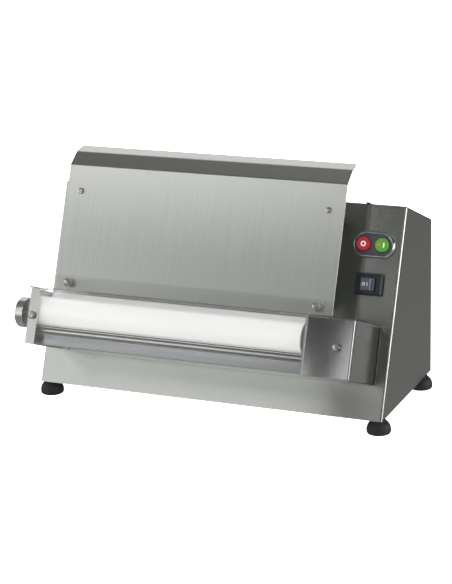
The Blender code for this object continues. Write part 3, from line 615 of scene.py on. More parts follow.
NODE_LOOKS = {
    "zinc": ("base_plate", "motor_saddle"),
    "steel": (
        "chute_standoff_upper_left", "chute_standoff_upper_right", "chute_standoff_lower_left",
        "chute_standoff_lower_right", "inner_bearing_plate", "outer_bearing_plate",
        "idler_stud_a", "idler_stud_b",
        "eccentric_shaft", "rear_roller_shaft", "front_roller_gear", "rear_roller_gear"),
    "gear_plastic": ("idler_gear_a", "idler_gear_b"),
    "spacer": ("guard_spacer_left", "guard_spacer_right"),
    "scraper": ("rear_scraper",),
    "bronze": ("rear_bush_left", "rear_bush_right", "front_bush_left", "front_bush_right"),
    "cast": ("gear_reducer", "motor_pulley", "rear_pulley"),
    "motor": ("drive_motor",),
    "grey_plastic": ("motor_capacitor", "control_relay", "contact_block"),
    "belt": ("drive_belt",),
}


# ---- Operators: one for each piece or group of like pieces ----

class Piece:
    """What the operators share: the panel lists them and their sizes come from the scene."""
    bl_options = {"REGISTER", "UNDO"}

    @property
    def sizes(self):
        return bpy.context.scene.sheeter_sizes


class SHEETER_OT_finishes(Piece, bpy.types.Operator):
    """Make the finishes and give the carried-over CAD nodes theirs"""
    bl_idname = "sheeter.finishes"
    bl_label = "Finishes"

    def execute(self, context):
        make_looks(context.scene.sheeter_colours)
        for look, names in NODE_LOOKS.items():
            for name in names:
                for slot in frame["nodes"][name].material_slots:
                    slot.material = LOOKS[look]
        return {"FINISHED"}


class SHEETER_OT_housing(Piece, bpy.types.Operator):
    """Fold the housing's front, top and sides from one sheet"""
    bl_idname = "sheeter.housing"
    bl_label = "Housing"

    def execute(self, context):
        half = (PANEL_HIGH.x - PANEL_LOW.x) / 2
        depth = PANEL_HIGH.y - PANEL_LOW.y
        top = PANEL_HIGH.z - PANEL_LOW.z
        set_back = top * math.tan(LEAN)
        drop = (depth - set_back) * math.tan(LEAN)
        bend = self.sizes.housing_bend
        sheet = span("side_panel_right")[1].x - span("side_panel_right")[0].x
        wrap = start_box("housing_wrap", (-half, 0, 0), (half, depth, top))
        with editing(wrap):
            choose("EDGE", lambda edge: all(near(v.co.y, 0) and near(v.co.z, top) for v in edge.verts))
            bpy.ops.transform.translate(value=(0, set_back, 0))
            choose("EDGE", lambda edge: all(near(v.co.y, depth) and near(v.co.z, top) for v in edge.verts))
            bpy.ops.transform.translate(value=(0, 0, -drop))
            choose("FACE", lambda face: facing((0, 0, -1))(face) or facing((0, 1, 0))(face))
            bpy.ops.mesh.delete(type="FACE")
            choose("EDGE", lambda edge: len(edge.link_faces) == 2)
            bpy.ops.mesh.bevel(offset=bend, segments=5, affect="EDGES")
        thicken(wrap, sheet)
        settle(wrap, UPRIGHT)
        pulley = middle_of("rear_pulley")
        cut_box(wrap, (pulley.x - 9 * MM, 100 * MM, -8 * MM), (pulley.x + 9 * MM, 144 * MM, 8 * MM), FACE)
        for name in ("stop_button", "start_button"):
            low, high = span(name)
            cut_round(wrap, (low + high).xy / 2, (high.x - low.x) / 2 + 0.6 * MM, -8 * MM, 8 * MM, FACE)
        low, high = span("power_rocker")
        reach = Vector((4 * MM, 4 * MM, 0))
        cut_box(wrap, (low - reach).to_2d().to_3d() - Vector((0, 0, 8 * MM)),
                (high + reach).to_2d().to_3d() + Vector((0, 0, 8 * MM)), FACE)
        for row in range(6):
            z = (48 + 16 * row) * MM
            cut_box(wrap, (120 * MM, z - 3 * MM, -half - 9 * MM), (210 * MM, z + 3 * MM, 9 * MM - half),
                    axes(Vector((0, 1, 0)), Vector((0, 0, 1)), X_AXIS), 2.9 * MM)
        broken_edges(wrap, self.sizes.sheet_edge)
        grain_map(wrap, X_AXIS, (0, 1, 0))
        dress(wrap, LOOKS["housing"], "housing", "front_shell", "side_panel_left", "side_panel_right")
        return {"FINISHED"}


class SHEETER_OT_top_clip(Piece, bpy.types.Operator):
    """Set the small folded clip on the front edge of the housing's top"""
    bl_idname = "sheeter.top_clip"
    bl_label = "Top clip"

    def execute(self, context):
        length = span("front_shell")[1].y
        clip = start_box(
            "top_clip", (232 * MM, length + 0.1 * MM, -16 * MM), (240 * MM, length + 1.4 * MM, -1 * MM))
        with editing(clip):
            choose("FACE", facing((0, 0, 1)))
            bpy.ops.mesh.extrude_region_move(TRANSFORM_OT_translate={"value": (0, 0.6 * MM, 1.5 * MM)})
            bpy.ops.transform.resize(value=(0.7, 1, 1))
        broken_edges(settle(clip, FACE), 0.3 * MM)
        dress(clip, LOOKS["screw"], "housing")
        return {"FINISHED"}


class SHEETER_OT_feet(Piece, bpy.types.Operator):
    """Mould the domed rubber feet"""
    bl_idname = "sheeter.feet"
    bl_label = "Feet"

    def execute(self, context):
        low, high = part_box("foot_front_left")
        radius, top = (high.x - low.x) / 2, high.z
        profile = [
            (radius * 0.66, 0.9 * MM), (radius * 0.70, 0), (radius * 0.90, 0), (radius * 0.95, 0.7 * MM),
            (radius * 0.99, 2.6 * MM), (radius, 5.5 * MM), (radius * 0.99, 8.2 * MM),
            (radius * 0.955, 11.0 * MM), (radius * 0.895, 13.8 * MM), (radius * 0.81, 16.4 * MM),
            (radius * 0.70, 18.6 * MM), (radius * 0.60, top - 2.2 * MM), (radius * 0.56, top - 1.0 * MM),
            (radius * 0.56, top)]
        first = turned("foot_dome", profile, 56)
        for place in ("front_left", "front_right", "rear_left", "rear_right"):
            low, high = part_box(f"foot_{place}")
            foot = copy_of(first, f"rubber_foot_{place}")
            settle(foot, Matrix.Translation(((low.x + high.x) / 2, (low.y + high.y) / 2, 0)))
            dress(smooth(foot, 50), LOOKS["rubber"], "housing", f"foot_{place}")
        bpy.data.objects.remove(first, do_unlink=True)
        return {"FINISHED"}


class SHEETER_OT_chute(Piece, bpy.types.Operator):
    """Fold the feed chute"""
    bl_idname = "sheeter.chute"
    bl_label = "Feed chute"

    def execute(self, context):
        low, high = span("feed_chute")
        path = [(low.y, high.z)] + [(up, high.z if out is None else out) for up, out in CHUTE_FOLDS]
        chute = folded_sheet("feed_chute_sheet", low.x, high.x, path, self.sizes.chute_bend)
        with editing(chute):
            choose("VERT", lambda vert: near(vert.co.y, path[-1][0]))
            bpy.ops.mesh.bevel(offset=self.sizes.chute_corner, segments=5, affect="VERTICES")
        thicken(chute, 1.5 * MM)
        for side in ("left", "right"):
            for screw in (f"chute_screw_{side}", f"flange_screw_{side}"):
                cut_round(chute, middle_of(screw).xy, SCREW_HOLE, 40 * MM, 80 * MM, sides=24)
        broken_edges(chute, 0.6 * MM, 3)
        settle(chute, FACE)
        grain_map(chute, UP, OUT)
        dress(chute, LOOKS["chute"], "housing", "feed_chute")
        return {"FINISHED"}


class SHEETER_OT_guard(Piece, bpy.types.Operator):
    """Fold the clear guard over the rollers"""
    bl_idname = "sheeter.guard"
    bl_label = "Clear guard"

    def execute(self, context):
        low, high = span("safety_guard")
        path = [(low.y, high.z), (GUARD_TOP, high.z), (GUARD_TOP, FLANGE_FACE), (high.y, FLANGE_FACE)]
        guard = folded_sheet("clear_guard", low.x, high.x, path, self.sizes.guard_bend)
        thicken(guard, 2 * MM)
        bend = self.sizes.guard_bend
        cut_box(guard, (FLANGE_RIGHT, GUARD_TOP - bend - 2 * MM, FLANGE_FACE - 9 * MM),
                (300 * MM, 190 * MM, FLANGE_FACE + bend))
        for side in ("left", "right"):
            for screw in (f"guard_screw_{side}", f"flange_screw_{side}"):
                cut_round(guard, middle_of(screw).xy, SCREW_HOLE, 60 * MM, 140 * MM, sides=24)
        modified(guard, "BEVEL", width=0.8 * MM, segments=1, limit_method="ANGLE", angle_limit=math.radians(50))
        smooth(guard)
        dress(guard, LOOKS["clear"], "housing", "safety_guard")
        guard.data.materials.append(LOOKS["clear_fold_shade"])
        guard.data.materials.append(LOOKS["clear_rim_shade"])
        # Side faces and end bends of the guard take the dark rim tint: painted shade along its edges.
        for face in guard.data.polygons:
            straight = max(abs(face.normal.y), abs(face.normal.z))
            end = face.center.y < low.y + 0.7 * MM or face.center.y > high.y - 0.7 * MM
            side = face.center.x < low.x + 0.7 * MM or face.center.x > high.x - 0.7 * MM
            if abs(face.normal.x) > 0.5 or (straight < 0.995 and (end or side)):
                face.material_index = 2
            # Upward-facing fold faces take the fold tint: painted shade along the fold lines.
            elif straight < 0.995 and face.normal.y > 0.45:
                face.material_index = 1
        settle(guard, FACE)
        return {"FINISHED"}


class SHEETER_OT_bracket(Piece, bpy.types.Operator):
    """Fold the left end bracket"""
    bl_idname = "sheeter.bracket"
    bl_label = "Left bracket"

    def execute(self, context):
        low, high = span("left_bracket")
        sheet, flange = 2.5 * MM, high.x
        path = [(high.z, flange), (high.z, low.x), (low.z, low.x), (low.z, flange)]
        bracket = folded_sheet("left_bracket_sheet", low.y, high.y, path, 1.6 * MM, 4)
        thicken(bracket, sheet)
        knob, rear = middle_of("adjusting_knob"), middle_of("rear_bush_left")
        settle(bracket, BRACKET)
        cut_round(bracket, (rear.y, rear.z), 12.3 * MM, low.x - 5 * MM, low.x + 6 * MM, ALONG)
        cut_round(bracket, (knob.y, knob.z), 6.4 * MM, low.x - 5 * MM, low.x + 6 * MM, ALONG)
        cut_round(bracket, middle_of("guard_screw_left").xy, SCREW_HOLE, 115 * MM, 140 * MM, FACE, 24)
        cut_box(bracket, (flange - 3 * MM, high.y - 3 * MM, high.z - 6 * MM),
                (flange + 3 * MM, high.y + 3 * MM, high.z + 3 * MM), FACE)
        broken_edges(bracket, self.sizes.sheet_edge)
        grain_map(bracket, UP, OUT)
        dress(bracket, LOOKS["bracket"], "housing", "left_bracket")
        return {"FINISHED"}


class SHEETER_OT_gear_cover(Piece, bpy.types.Operator):
    """Fold the gear cover"""
    bl_idname = "sheeter.gear_cover"
    bl_label = "Gear cover"

    def execute(self, context):
        low, high = span("gear_cover")
        sheet, seal = 1.5 * MM, 4.8 * MM
        cover = start_box("gear_cover_sheet", (low.x, low.y, seal), high)
        with editing(cover):
            choose("FACE", facing((0, 0, -1)))
            bpy.ops.mesh.delete(type="FACE")
            choose("EDGE", lambda edge: len(edge.link_faces) == 2)
            bpy.ops.mesh.bevel(offset=self.sizes.cover_bend, segments=4, affect="EDGES")
        thicken(cover, sheet)
        window = span("inner_bearing_plate")[1].z + 1 * MM
        inset = sheet + 1 * MM
        cut_box(cover, (low.x - 5 * MM, low.y + inset, -9 * MM), (low.x + 5 * MM, high.y - inset, window))
        cut_round(cover, middle_of("guard_screw_right").xy, SCREW_HOLE, 115 * MM, 140 * MM, sides=24)
        broken_edges(cover, 0.6 * MM, 3)
        settle(cover, FACE)
        grain_map(cover, X_AXIS, OUT)
        dress(cover, LOOKS["cover"], "housing", "gear_cover")
        cover.data.materials.append(LOOKS["cover_side"])
        for face in cover.data.polygons:
            if face.normal.x > 0.9:
                face.material_index = 1

        gasket = start_box("gear_cover_gasket", (low.x + 8 * MM, low.y + 0.6 * MM, low.z),
                           (high.x - 0.6 * MM, high.y - 0.6 * MM, seal))
        with editing(gasket):
            for side in (1, -1):
                choose("FACE", facing((0, 0, side)))
                bpy.ops.mesh.delete(type="FACE")
            choose("FACE", facing((-1, 0, 0)))
            bpy.ops.mesh.delete(type="FACE")
            choose("EDGE", lambda edge: len(edge.link_faces) == 2)
            bpy.ops.mesh.bevel(offset=2 * MM, segments=4, affect="EDGES")
        thicken(gasket, 5 * MM)
        broken_edges(settle(gasket, FACE), 0.3 * MM)
        dress(gasket, LOOKS["belt"], "housing")
        return {"FINISHED"}


class SHEETER_OT_tie_plate(Piece, bpy.types.Operator):
    """Fold the plate that ties the box together under the rollers"""
    bl_idname = "sheeter.tie_plate"
    bl_label = "Tie plate"

    def execute(self, context):
        low, high = span("tie_plate")
        path = [(low.y, low.z), (low.y, high.z - 0.2 * MM), (TIE_RIDGE, high.z),
                (high.y, high.z - 1.6 * MM), (high.y, low.z)]
        plate = folded_sheet("tie_plate_sheet", low.x, high.x, path, 1.2 * MM, 4)
        broken_edges(thicken(plate, 2 * MM), self.sizes.sheet_edge)
        settle(plate, FACE)
        grain_map(plate, X_AXIS, OUT)
        dress(plate, LOOKS["tie"], "housing", "tie_plate")
        return {"FINISHED"}


class SHEETER_OT_scraper(Piece, bpy.types.Operator):
    """Shape the front roller's scraper and the steel strip that backs it"""
    bl_idname = "sheeter.scraper"
    bl_label = "Front scraper"

    def execute(self, context):
        low, high = span("front_scraper")
        blade = start_box("front_scraper_blade", (low.x, low.y, 104 * MM), (high.x, 85.5 * MM, high.z))
        with editing(blade):
            choose("FACE", facing((0, 1, 0)))
            bpy.ops.mesh.extrude_region_move(TRANSFORM_OT_translate={"value": (0, 0.6 * MM, 0)})
            choose("VERT", lambda vert: near(vert.co.z, 104 * MM) and vert.co.y > 85 * MM)
            bpy.ops.transform.translate(value=(0, 1.4 * MM, -2.6 * MM))
            outward()
        cut_box(blade, (low.x - 1 * MM, 79.6 * MM, high.z - 1.2 * MM),
                (high.x + 1 * MM, 82.8 * MM, high.z + 2 * MM))
        broken_edges(settle(blade, FACE), 0.3 * MM)
        # The blade's faces towards the roller are white acetal to throw light onto the roller's underside:
        # painted light. Its front faces take the dark scraper plastic.
        dress(blade, LOOKS["acetal"], "housing", "front_scraper")
        blade.data.materials.append(LOOKS["scraper"])
        for face in blade.data.polygons:
            if face.normal.dot(OUT) > 0.5:
                face.material_index = 1
        strip = start_box("front_scraper_strip", (low.x, 79.8 * MM, high.z - 1.1 * MM),
                          (high.x, 82.6 * MM, high.z + 0.2 * MM))
        broken_edges(settle(strip, FACE), 0.5 * MM, 3)
        grain_map(strip, X_AXIS, OUT)
        dress(strip, LOOKS["bracket"], "housing")
        return {"FINISHED"}


class SHEETER_OT_rollers(Piece, bpy.types.Operator):
    """Turn the two white roller sleeves"""
    bl_idname = "sheeter.rollers"
    bl_label = "Rollers"

    def execute(self, context):
        for body, bore in (("front_roller", 13.3 * MM), ("rear_roller", 8.3 * MM)):
            node = f"{body}_sleeve"
            low, high = span(node)
            radius, centre = (high.y - low.y) / 2, (low + high) / 2
            sleeve = ring(f"{body}_white", bore, radius, low.x, high.x, self.sizes.roller_chamfer, 96)
            settle(sleeve, ALONG @ Matrix.Translation((centre.y, centre.z, 0)))
            dress(smooth(sleeve), LOOKS["acetal"], body, node)
        return {"FINISHED"}


class SHEETER_OT_knob(Piece, bpy.types.Operator):
    """Turn the gap adjusting knob and its end cap"""
    bl_idname = "sheeter.knob"
    bl_label = "Adjusting knob"

    def execute(self, context):
        low, high = span("adjusting_knob")
        centre, radius, width = (low + high) / 2, (high.y - low.y) / 2, high.x - low.x
        profile = [
            (6.4 * MM, 0), (14 * MM, 0), (radius - 1.4 * MM, 0), (radius - 0.4 * MM, 0.4 * MM),
            (radius, 1.4 * MM), (radius, width - 2.0 * MM), (radius - 0.5 * MM, width - 0.6 * MM),
            (radius - 2.0 * MM, width), (17.0 * MM, width), (16.2 * MM, width - 0.9 * MM),
            (9.0 * MM, width - 0.9 * MM), (8.0 * MM, width - 0.2 * MM), (4.6 * MM, width - 0.2 * MM),
            (4.3 * MM, width - 3.0 * MM)]
        knob = turned("gap_knob", profile, 72)
        towards_left = axes(OUT, UP, -X_AXIS)
        settle(knob, towards_left @ Matrix.Translation((centre.z, centre.y, -high.x)))
        cut_round(knob, (centre.y, centre.z), 6.3 * MM, high.x - 9 * MM, high.x + 2 * MM, ALONG)
        dress(smooth(knob, 30), LOOKS["knob"], "adjuster", "adjusting_knob")
        return {"FINISHED"}


def pan_head(name, radius, height, length):
    """A pan-head screw with a cross recess, its seat at Z 0."""
    shank = 2.5 * MM
    profile = [(shank, -length), (shank, 0), (radius * 0.97, 0), (radius, height * 0.14),
               (radius, height * 0.34), (radius * 0.95, height * 0.62), (radius * 0.80, height * 0.86),
               (radius * 0.52, height * 0.98), (radius * 0.18, height)]
    screw = turned(name, profile, 40)
    wing = radius * 0.15
    for angle in (0, 90):
        tool = start_box("tool", (-radius * 0.56, -wing, height * 0.38), (radius * 0.56, wing, height + 2 * MM))
        with editing(tool):
            choose("FACE", facing((0, 0, -1)))
            bpy.ops.transform.resize(value=(0.45, 0.8, 1))
        cut_with(screw, settle(tool, Matrix.Rotation(math.radians(angle), 4, "Z")))
    return smooth(screw, 30)


class SHEETER_OT_screws(Piece, bpy.types.Operator):
    """Set the pan-head screws of the chute, the guard and the rear cover"""
    bl_idname = "sheeter.screws"
    bl_label = "Screws"

    def execute(self, context):
        turn = 0
        for kind, seat in (("chute_screw", span("feed_chute")[1].z), ("flange_screw", FLANGE_FACE),
                           ("guard_screw", span("safety_guard")[1].z)):
            low, high = span(f"{kind}_left")
            radius = (high.x - low.x) / 2
            first = pan_head(f"{kind}_first", radius, high.z - seat, seat - low.z)
            for side in ("left", "right"):
                node = f"{kind}_{side}"
                centre = middle_of(node)
                turn += 37
                screw = copy_of(first, f"{node}_pan")
                twist = Matrix.Rotation(math.radians(turn), 4, "Z")
                settle(screw, FACE @ Matrix.Translation((centre.x, centre.y, seat)) @ twist)
                dress(screw, LOOKS["screw"], "housing", node)
            bpy.data.objects.remove(first, do_unlink=True)
        low, high = span("rear_cover", BACK)
        first = pan_head("rear_screw_first", 4.2 * MM, 2.4 * MM, 6 * MM)
        number = 0
        for x in (low.x + 12 * MM, 0, high.x - 12 * MM):
            for z in (low.y + 10 * MM, high.y - 10 * MM):
                number += 1
                screw = copy_of(first, f"rear_cover_screw_{number}")
                twist = Matrix.Rotation(math.radians(53 * number), 4, "Z")
                settle(screw, BACK @ Matrix.Translation((x, z, high.z)) @ twist)
                dress(screw, LOOKS["screw"], "housing")
        bpy.data.objects.remove(first, do_unlink=True)
        return {"FINISHED"}


class SHEETER_OT_rear_cover(Piece, bpy.types.Operator):
    """Cut the rear cover with its vents"""
    bl_idname = "sheeter.rear_cover"
    bl_label = "Rear cover"

    def execute(self, context):
        low, high = span("rear_cover", BACK)
        cover = start_box("rear_cover_sheet", low, high)
        for column in range(10):
            x = (-90 + 20 * column) * MM
            cut_box(cover, (x - 3.5 * MM, 130 * MM - PANEL_LOW.z, low.z - 5 * MM),
                    (x + 3.5 * MM, 210 * MM - PANEL_LOW.z, high.z + 5 * MM), rounding=3.3 * MM)
        gland = middle_of("cable_gland", BACK)
        cut_round(cover, gland.xy, 8.4 * MM, low.z - 5 * MM, high.z + 5 * MM)
        broken_edges(cover, self.sizes.sheet_edge)
        settle(cover, BACK)
        grain_map(cover, X_AXIS, (0, 0, 1))
        dress(cover, LOOKS["rear"], "housing", "rear_cover")
        return {"FINISHED"}


class SHEETER_OT_gland(Piece, bpy.types.Operator):
    """Mould the cable gland in the rear cover"""
    bl_idname = "sheeter.gland"
    bl_label = "Cable gland"

    def execute(self, context):
        low, high = span("cable_gland", BACK)
        centre, radius = (low + high) / 2, (high.x - low.x) / 2
        seat = span("rear_cover", BACK)[1].z
        reach = high.z - seat
        body = turned("gland_body", [
            (8 * MM, low.z - seat), (8 * MM, 0.3 * MM), (radius, 0.3 * MM), (radius, 1.6 * MM),
            (radius * 0.92, 2.0 * MM), (radius * 0.92, reach * 0.55), (radius * 0.86, reach * 0.8),
            (radius * 0.66, reach), (4.6 * MM, reach), (4.0 * MM, reach - 0.6 * MM),
            (4.0 * MM, reach - 6 * MM)], 48)
        nut = turned("gland_nut", [
            (radius * 0.93, 2.2 * MM), (radius * 0.99, 2.7 * MM), (radius * 0.99, reach * 0.48),
            (radius * 0.93, reach * 0.54)], 6)
        gland = joined("cable_gland_body", smooth(body), smooth(nut))
        settle(gland, BACK @ Matrix.Translation((centre.x, centre.y, seat)))
        dress(gland, LOOKS["gland"], "housing", "cable_gland")
        return {"FINISHED"}


def stadium(name, centre, size, low, high, steps=14):
    """A flat body with full-round ends."""
    half = Vector(size) / 2
    obj = start_box(
        name, (centre.x - half.x, centre.y - half.y, low), (centre.x + half.x, centre.y + half.y, high))
    with editing(obj):
        choose("EDGE", lambda edge: abs(edge.verts[0].co.z - edge.verts[1].co.z) > (high - low) / 2)
        bpy.ops.mesh.bevel(offset=half.y - 0.05 * MM, segments=steps, affect="EDGES")
    return obj


class SHEETER_OT_push_buttons(Piece, bpy.types.Operator):
    """Mould the double push button: bezel, metal ring, caps, marks and lamp"""
    bl_idname = "sheeter.push_buttons"
    bl_label = "Push buttons"

    def execute(self, context):
        low, high = span("button_bezel")
        centre, size = (low + high) / 2, (high - low).xy
        buttons = ("stop_button", "start_button")
        caps = {name: middle_of(name) for name in buttons}
        radius = (span("stop_button")[1].x - span("stop_button")[0].x) / 2
        base = stadium("bezel_ring", centre, size, low.z, low.z + 2.4 * MM)
        outline = Vector(size)
        with editing(base):
            choose("FACE", facing((0, 0, -1)))
            bpy.ops.mesh.delete(type="FACE")
            choose("FACE", facing((0, 0, 1)))
            for inset, rise in ((0.3, 1.8), (0.6, 1.7), (0.9, 1.3), (1.2, 0.8), (0.9, 0.1)):
                bpy.ops.mesh.extrude_region_move(TRANSFORM_OT_translate={"value": (0, 0, rise * MM)})
                shrink = [1 - 2 * inset * MM / length for length in outline]
                outline -= Vector((2 * inset, 2 * inset)) * MM
                bpy.ops.transform.resize(value=(*shrink, 1), center_override=(*centre.xy, 0))
            bpy.ops.mesh.delete(type="FACE")
        thicken(base, 1 * MM)
        body = stadium("bezel_body", centre, size - Vector((8.4, 8.4)) * MM, low.z + 1 * MM, high.z - 1.6 * MM)
        for name in buttons:
            cut_round(body, caps[name].xy, radius + 0.5 * MM, -2 * MM, 20 * MM, sides=48)
        rim = stadium("bezel_rim", centre, size - Vector((9.6, 9.6)) * MM, high.z - 3 * MM, high.z - 0.6 * MM)
        with editing(rim):
            for side in (1, -1):
                choose("FACE", facing((0, 0, side)))
                bpy.ops.mesh.delete(type="FACE")
        thicken(rim, 1.3 * MM)
        for piece in (body, rim):
            dress(settle(broken_edges(piece, 0.4 * MM, 3), FACE), LOOKS["bezel"], "housing")
        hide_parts("button_bezel")
        dress(settle(smooth(base, 50), FACE), LOOKS["chrome"], "housing")
        for name, look in zip(buttons, ("stop", "start")):
            low, high = span(name)
            face = high.z
            cap = turned(f"{name}_cap", [
                (radius * 0.8, low.z), (radius, low.z), (radius, face - 1.2 * MM),
                (radius * 0.97, face - 0.4 * MM), (radius * 0.90, face), (radius * 0.82, face - 0.1 * MM),
                (radius * 0.74, face - 0.7 * MM), (radius * 0.35, face - 0.9 * MM)], 56)
            settle(smooth(cap, 30), FACE @ Matrix.Translation((*caps[name].xy, 0)))
            dress(cap, LOOKS[look], name, name)
        dish = span("stop_button")[1].z - 0.95 * MM
        letter = ring("stop_mark", 2.3 * MM, 4.3 * MM, dish, dish + 0.5 * MM, 0.15 * MM, 48)
        settle(letter, FACE @ Matrix.Translation((*caps["stop_button"].xy, 0)))
        dress(letter, LOOKS["mark"], "stop_button")
        x, u = caps["start_button"].xy
        bar = start_box(
            "start_mark", (x + 2.6 * MM, u - 3.6 * MM, dish), (x + 4.8 * MM, u + 3.6 * MM, dish + 0.5 * MM))
        dress(settle(broken_edges(bar, 0.18 * MM), FACE), LOOKS["mark"], "start_button")
        lamp = turned("start_lamp", [
            (2.2 * MM, dish), (2.2 * MM, dish + 0.5 * MM), (1.9 * MM, dish + 0.9 * MM),
            (1.2 * MM, dish + 1.2 * MM), (0.3 * MM, dish + 1.3 * MM)], 32)
        settle(smooth(lamp, 60), FACE @ Matrix.Translation((x - 4.8 * MM, u + 0.2 * MM, 0)))
        dress(lamp, LOOKS["amber"], "start_button")
        return {"FINISHED"}


class SHEETER_OT_rocker_switch(Piece, bpy.types.Operator):
    """Mould the rocker switch: frame, rocker and its marks"""
    bl_idname = "sheeter.rocker_switch"
    bl_label = "Rocker switch"

    def execute(self, context):
        low, high = span("rocker_frame")
        window = Vector((26.4, 21.4)) * MM
        centre = (low + high) / 2
        x, u = centre.xy
        face = high.z
        rim = start_box("switch_frame", (low.x, low.y, 0.3 * MM), (high.x, high.y, face - 2.2 * MM))
        with editing(rim):
            choose("EDGE", lambda edge: abs(edge.verts[0].co.z - edge.verts[1].co.z) > 2 * MM)
            bpy.ops.mesh.bevel(offset=3 * MM, segments=5, affect="EDGES")
            choose("FACE", facing((0, 0, 1)))
            bpy.ops.mesh.extrude_region_move(TRANSFORM_OT_translate={"value": (0, 0, 2.2 * MM)})
            bpy.ops.transform.resize(value=(0.90, 0.87, 1))
        wall = 2.2 * MM
        body = start_box("tool", (x - window.x / 2 - wall, u - window.y / 2 - wall, low.z),
                         (x + window.x / 2 + wall, u + window.y / 2 + wall, 2 * MM))
        cut_with(rim, body, "UNION")
        cut_box(rim, (x - window.x / 2, u - window.y / 2, -8 * MM),
                (x + window.x / 2, u + window.y / 2, 20 * MM))
        broken_edges(rim, 0.35 * MM, 3)
        dress(settle(rim, FACE), LOOKS["black_plastic"], "housing", "rocker_frame")

        height = window.y / 2 - 0.6 * MM
        half = 11.4 * MM
        rocker = start_box("power_rocker_cap", (-half, -height, 0), (half, height, 8.4 * MM))
        with editing(rocker):
            choose("EDGE", lambda edge: abs(edge.verts[0].co.x - edge.verts[1].co.x) > half)
            bpy.ops.mesh.subdivide(number_cuts=7)
            choose("FACE", facing((0, 0, -1)))
            bpy.ops.mesh.extrude_region_move(TRANSFORM_OT_translate={"value": (0, 0, -5 * MM)})
            bpy.ops.transform.resize(value=(0.82, 1, 1))
            for number in range(9):
                share = abs(number - 4) / 4
                place = -half + half * number / 4
                choose("VERT", lambda vert: near(vert.co.x, place) and vert.co.z > 8 * MM)
                bpy.ops.transform.translate(value=(0, 0, (1.3 * share ** 1.6 - 0.2) * MM))
        tilt = Matrix.Rotation(-math.radians(8), 4, "Y")
        stand = FACE @ Matrix.Translation((x, u, 0)) @ tilt
        broken_edges(rocker, 0.4 * MM, 3, 50)
        dress(settle(rocker, stand), LOOKS["rocker"], "rocker", "power_rocker")
        rib = start_box("rocker_grip_rib", (4.4 * MM, -8.6 * MM, 7.8 * MM), (5.6 * MM, 8.6 * MM, 9.5 * MM))
        dress(settle(broken_edges(rib, 0.5 * MM, 3), stand), LOOKS["rib"], "rocker")
        line = start_box("rocker_mark_on", (-0.5 * MM, -3.2 * MM, 7.8 * MM), (0.5 * MM, 3.2 * MM, 8.55 * MM))
        dress(settle(broken_edges(line, 0.15 * MM), stand), LOOKS["mark"], "rocker")
        loop = ring("rocker_mark_off", 1.7 * MM, 2.6 * MM, 7.9 * MM, 9.15 * MM, 0.12 * MM, 40)
        dress(settle(loop, stand @ Matrix.Translation((-6.4 * MM, 0, 0))), LOOKS["mark"], "rocker")
        return {"FINISHED"}


# ---- Stage ----

def panel_light(name, centre, target, size, radiance):
    """A soft panel that faces the target and isn't seen itself."""
    bpy.ops.object.light_add(type="AREA", location=centre)
    lamp = bpy.context.object
    lamp.name = name
    lamp.data.shape = "RECTANGLE"
    lamp.data.size, lamp.data.size_y = size
    lamp.data.energy = radiance * math.pi * size[0] * size[1]
    lamp.rotation_euler = (Vector(target) - Vector(centre)).to_track_quat("-Z", "Y").to_euler()
    lamp.visible_camera = False
    return lamp


def glow_for(obj):
    """Give a card or dome a material that only glows; returns it and its emission node."""
    glow = Finish(f"{obj.name}_glow", (0, 0, 0), 1.0)
    light = glow.node("ShaderNodeEmission")
    glow.links.new(light.outputs["Emission"], glow.nodes["Material Output"].inputs["Surface"])
    glow.nodes.remove(glow.shader)
    obj.data.materials.append(glow.material)
    return glow, light


def glowing_card(name, corners, distance, radiance, right_radiance):
    """An upright studio card in front of the machine; its glow runs evenly from its left to its right end.

    The corners are (x, z): top left, top right, bottom right, bottom left.
    """
    bpy.ops.object.select_all(action="DESELECT")
    bpy.ops.mesh.primitive_plane_add(size=1, location=(0, -distance, 0), rotation=(math.pi / 2, 0, 0))
    card = named(name)
    with editing(card):
        for (x, z), side, end in zip(corners, (-0.5, 0.5, 0.5, -0.5), (0.5, 0.5, -0.5, -0.5)):
            choose("VERT", lambda vert: near(vert.co.x, side) and near(vert.co.z, end))
            bpy.ops.transform.translate(value=(x - side, 0, z - end))
    left, right = min(x for x, z in corners), max(x for x, z in corners)
    glow, light = glow_for(card)
    across = glow.node("ShaderNodeSeparateXYZ")
    glow.links.new(glow.place(), across.inputs["Vector"])
    fade = glow.node("ShaderNodeMapRange")
    for socket, value in (
            ("From Min", left), ("From Max", right), ("To Min", radiance), ("To Max", right_radiance)):
        fade.inputs[socket].default_value = value
    glow.links.new(across.outputs["X"], fade.inputs["Value"])
    glow.links.new(fade.outputs["Result"], light.inputs["Strength"])
    card.visible_camera = card.visible_shadow = False
    return card


def studio_dome(radiance):
    """A wide dome that softly lights plastic and rubber from all round; metal doesn't mirror it."""
    bpy.ops.object.select_all(action="DESELECT")
    bpy.ops.mesh.primitive_ico_sphere_add(subdivisions=2, radius=6, location=(0, 0, 0))
    dome = named("studio_dome")
    with editing(dome):
        bpy.ops.mesh.select_all(action="SELECT")
        bpy.ops.mesh.flip_normals()
    light = glow_for(dome)[1]
    light.inputs["Strength"].default_value = radiance
    dome.visible_camera = dome.visible_glossy = dome.visible_transmission = dome.visible_shadow = False
    return dome


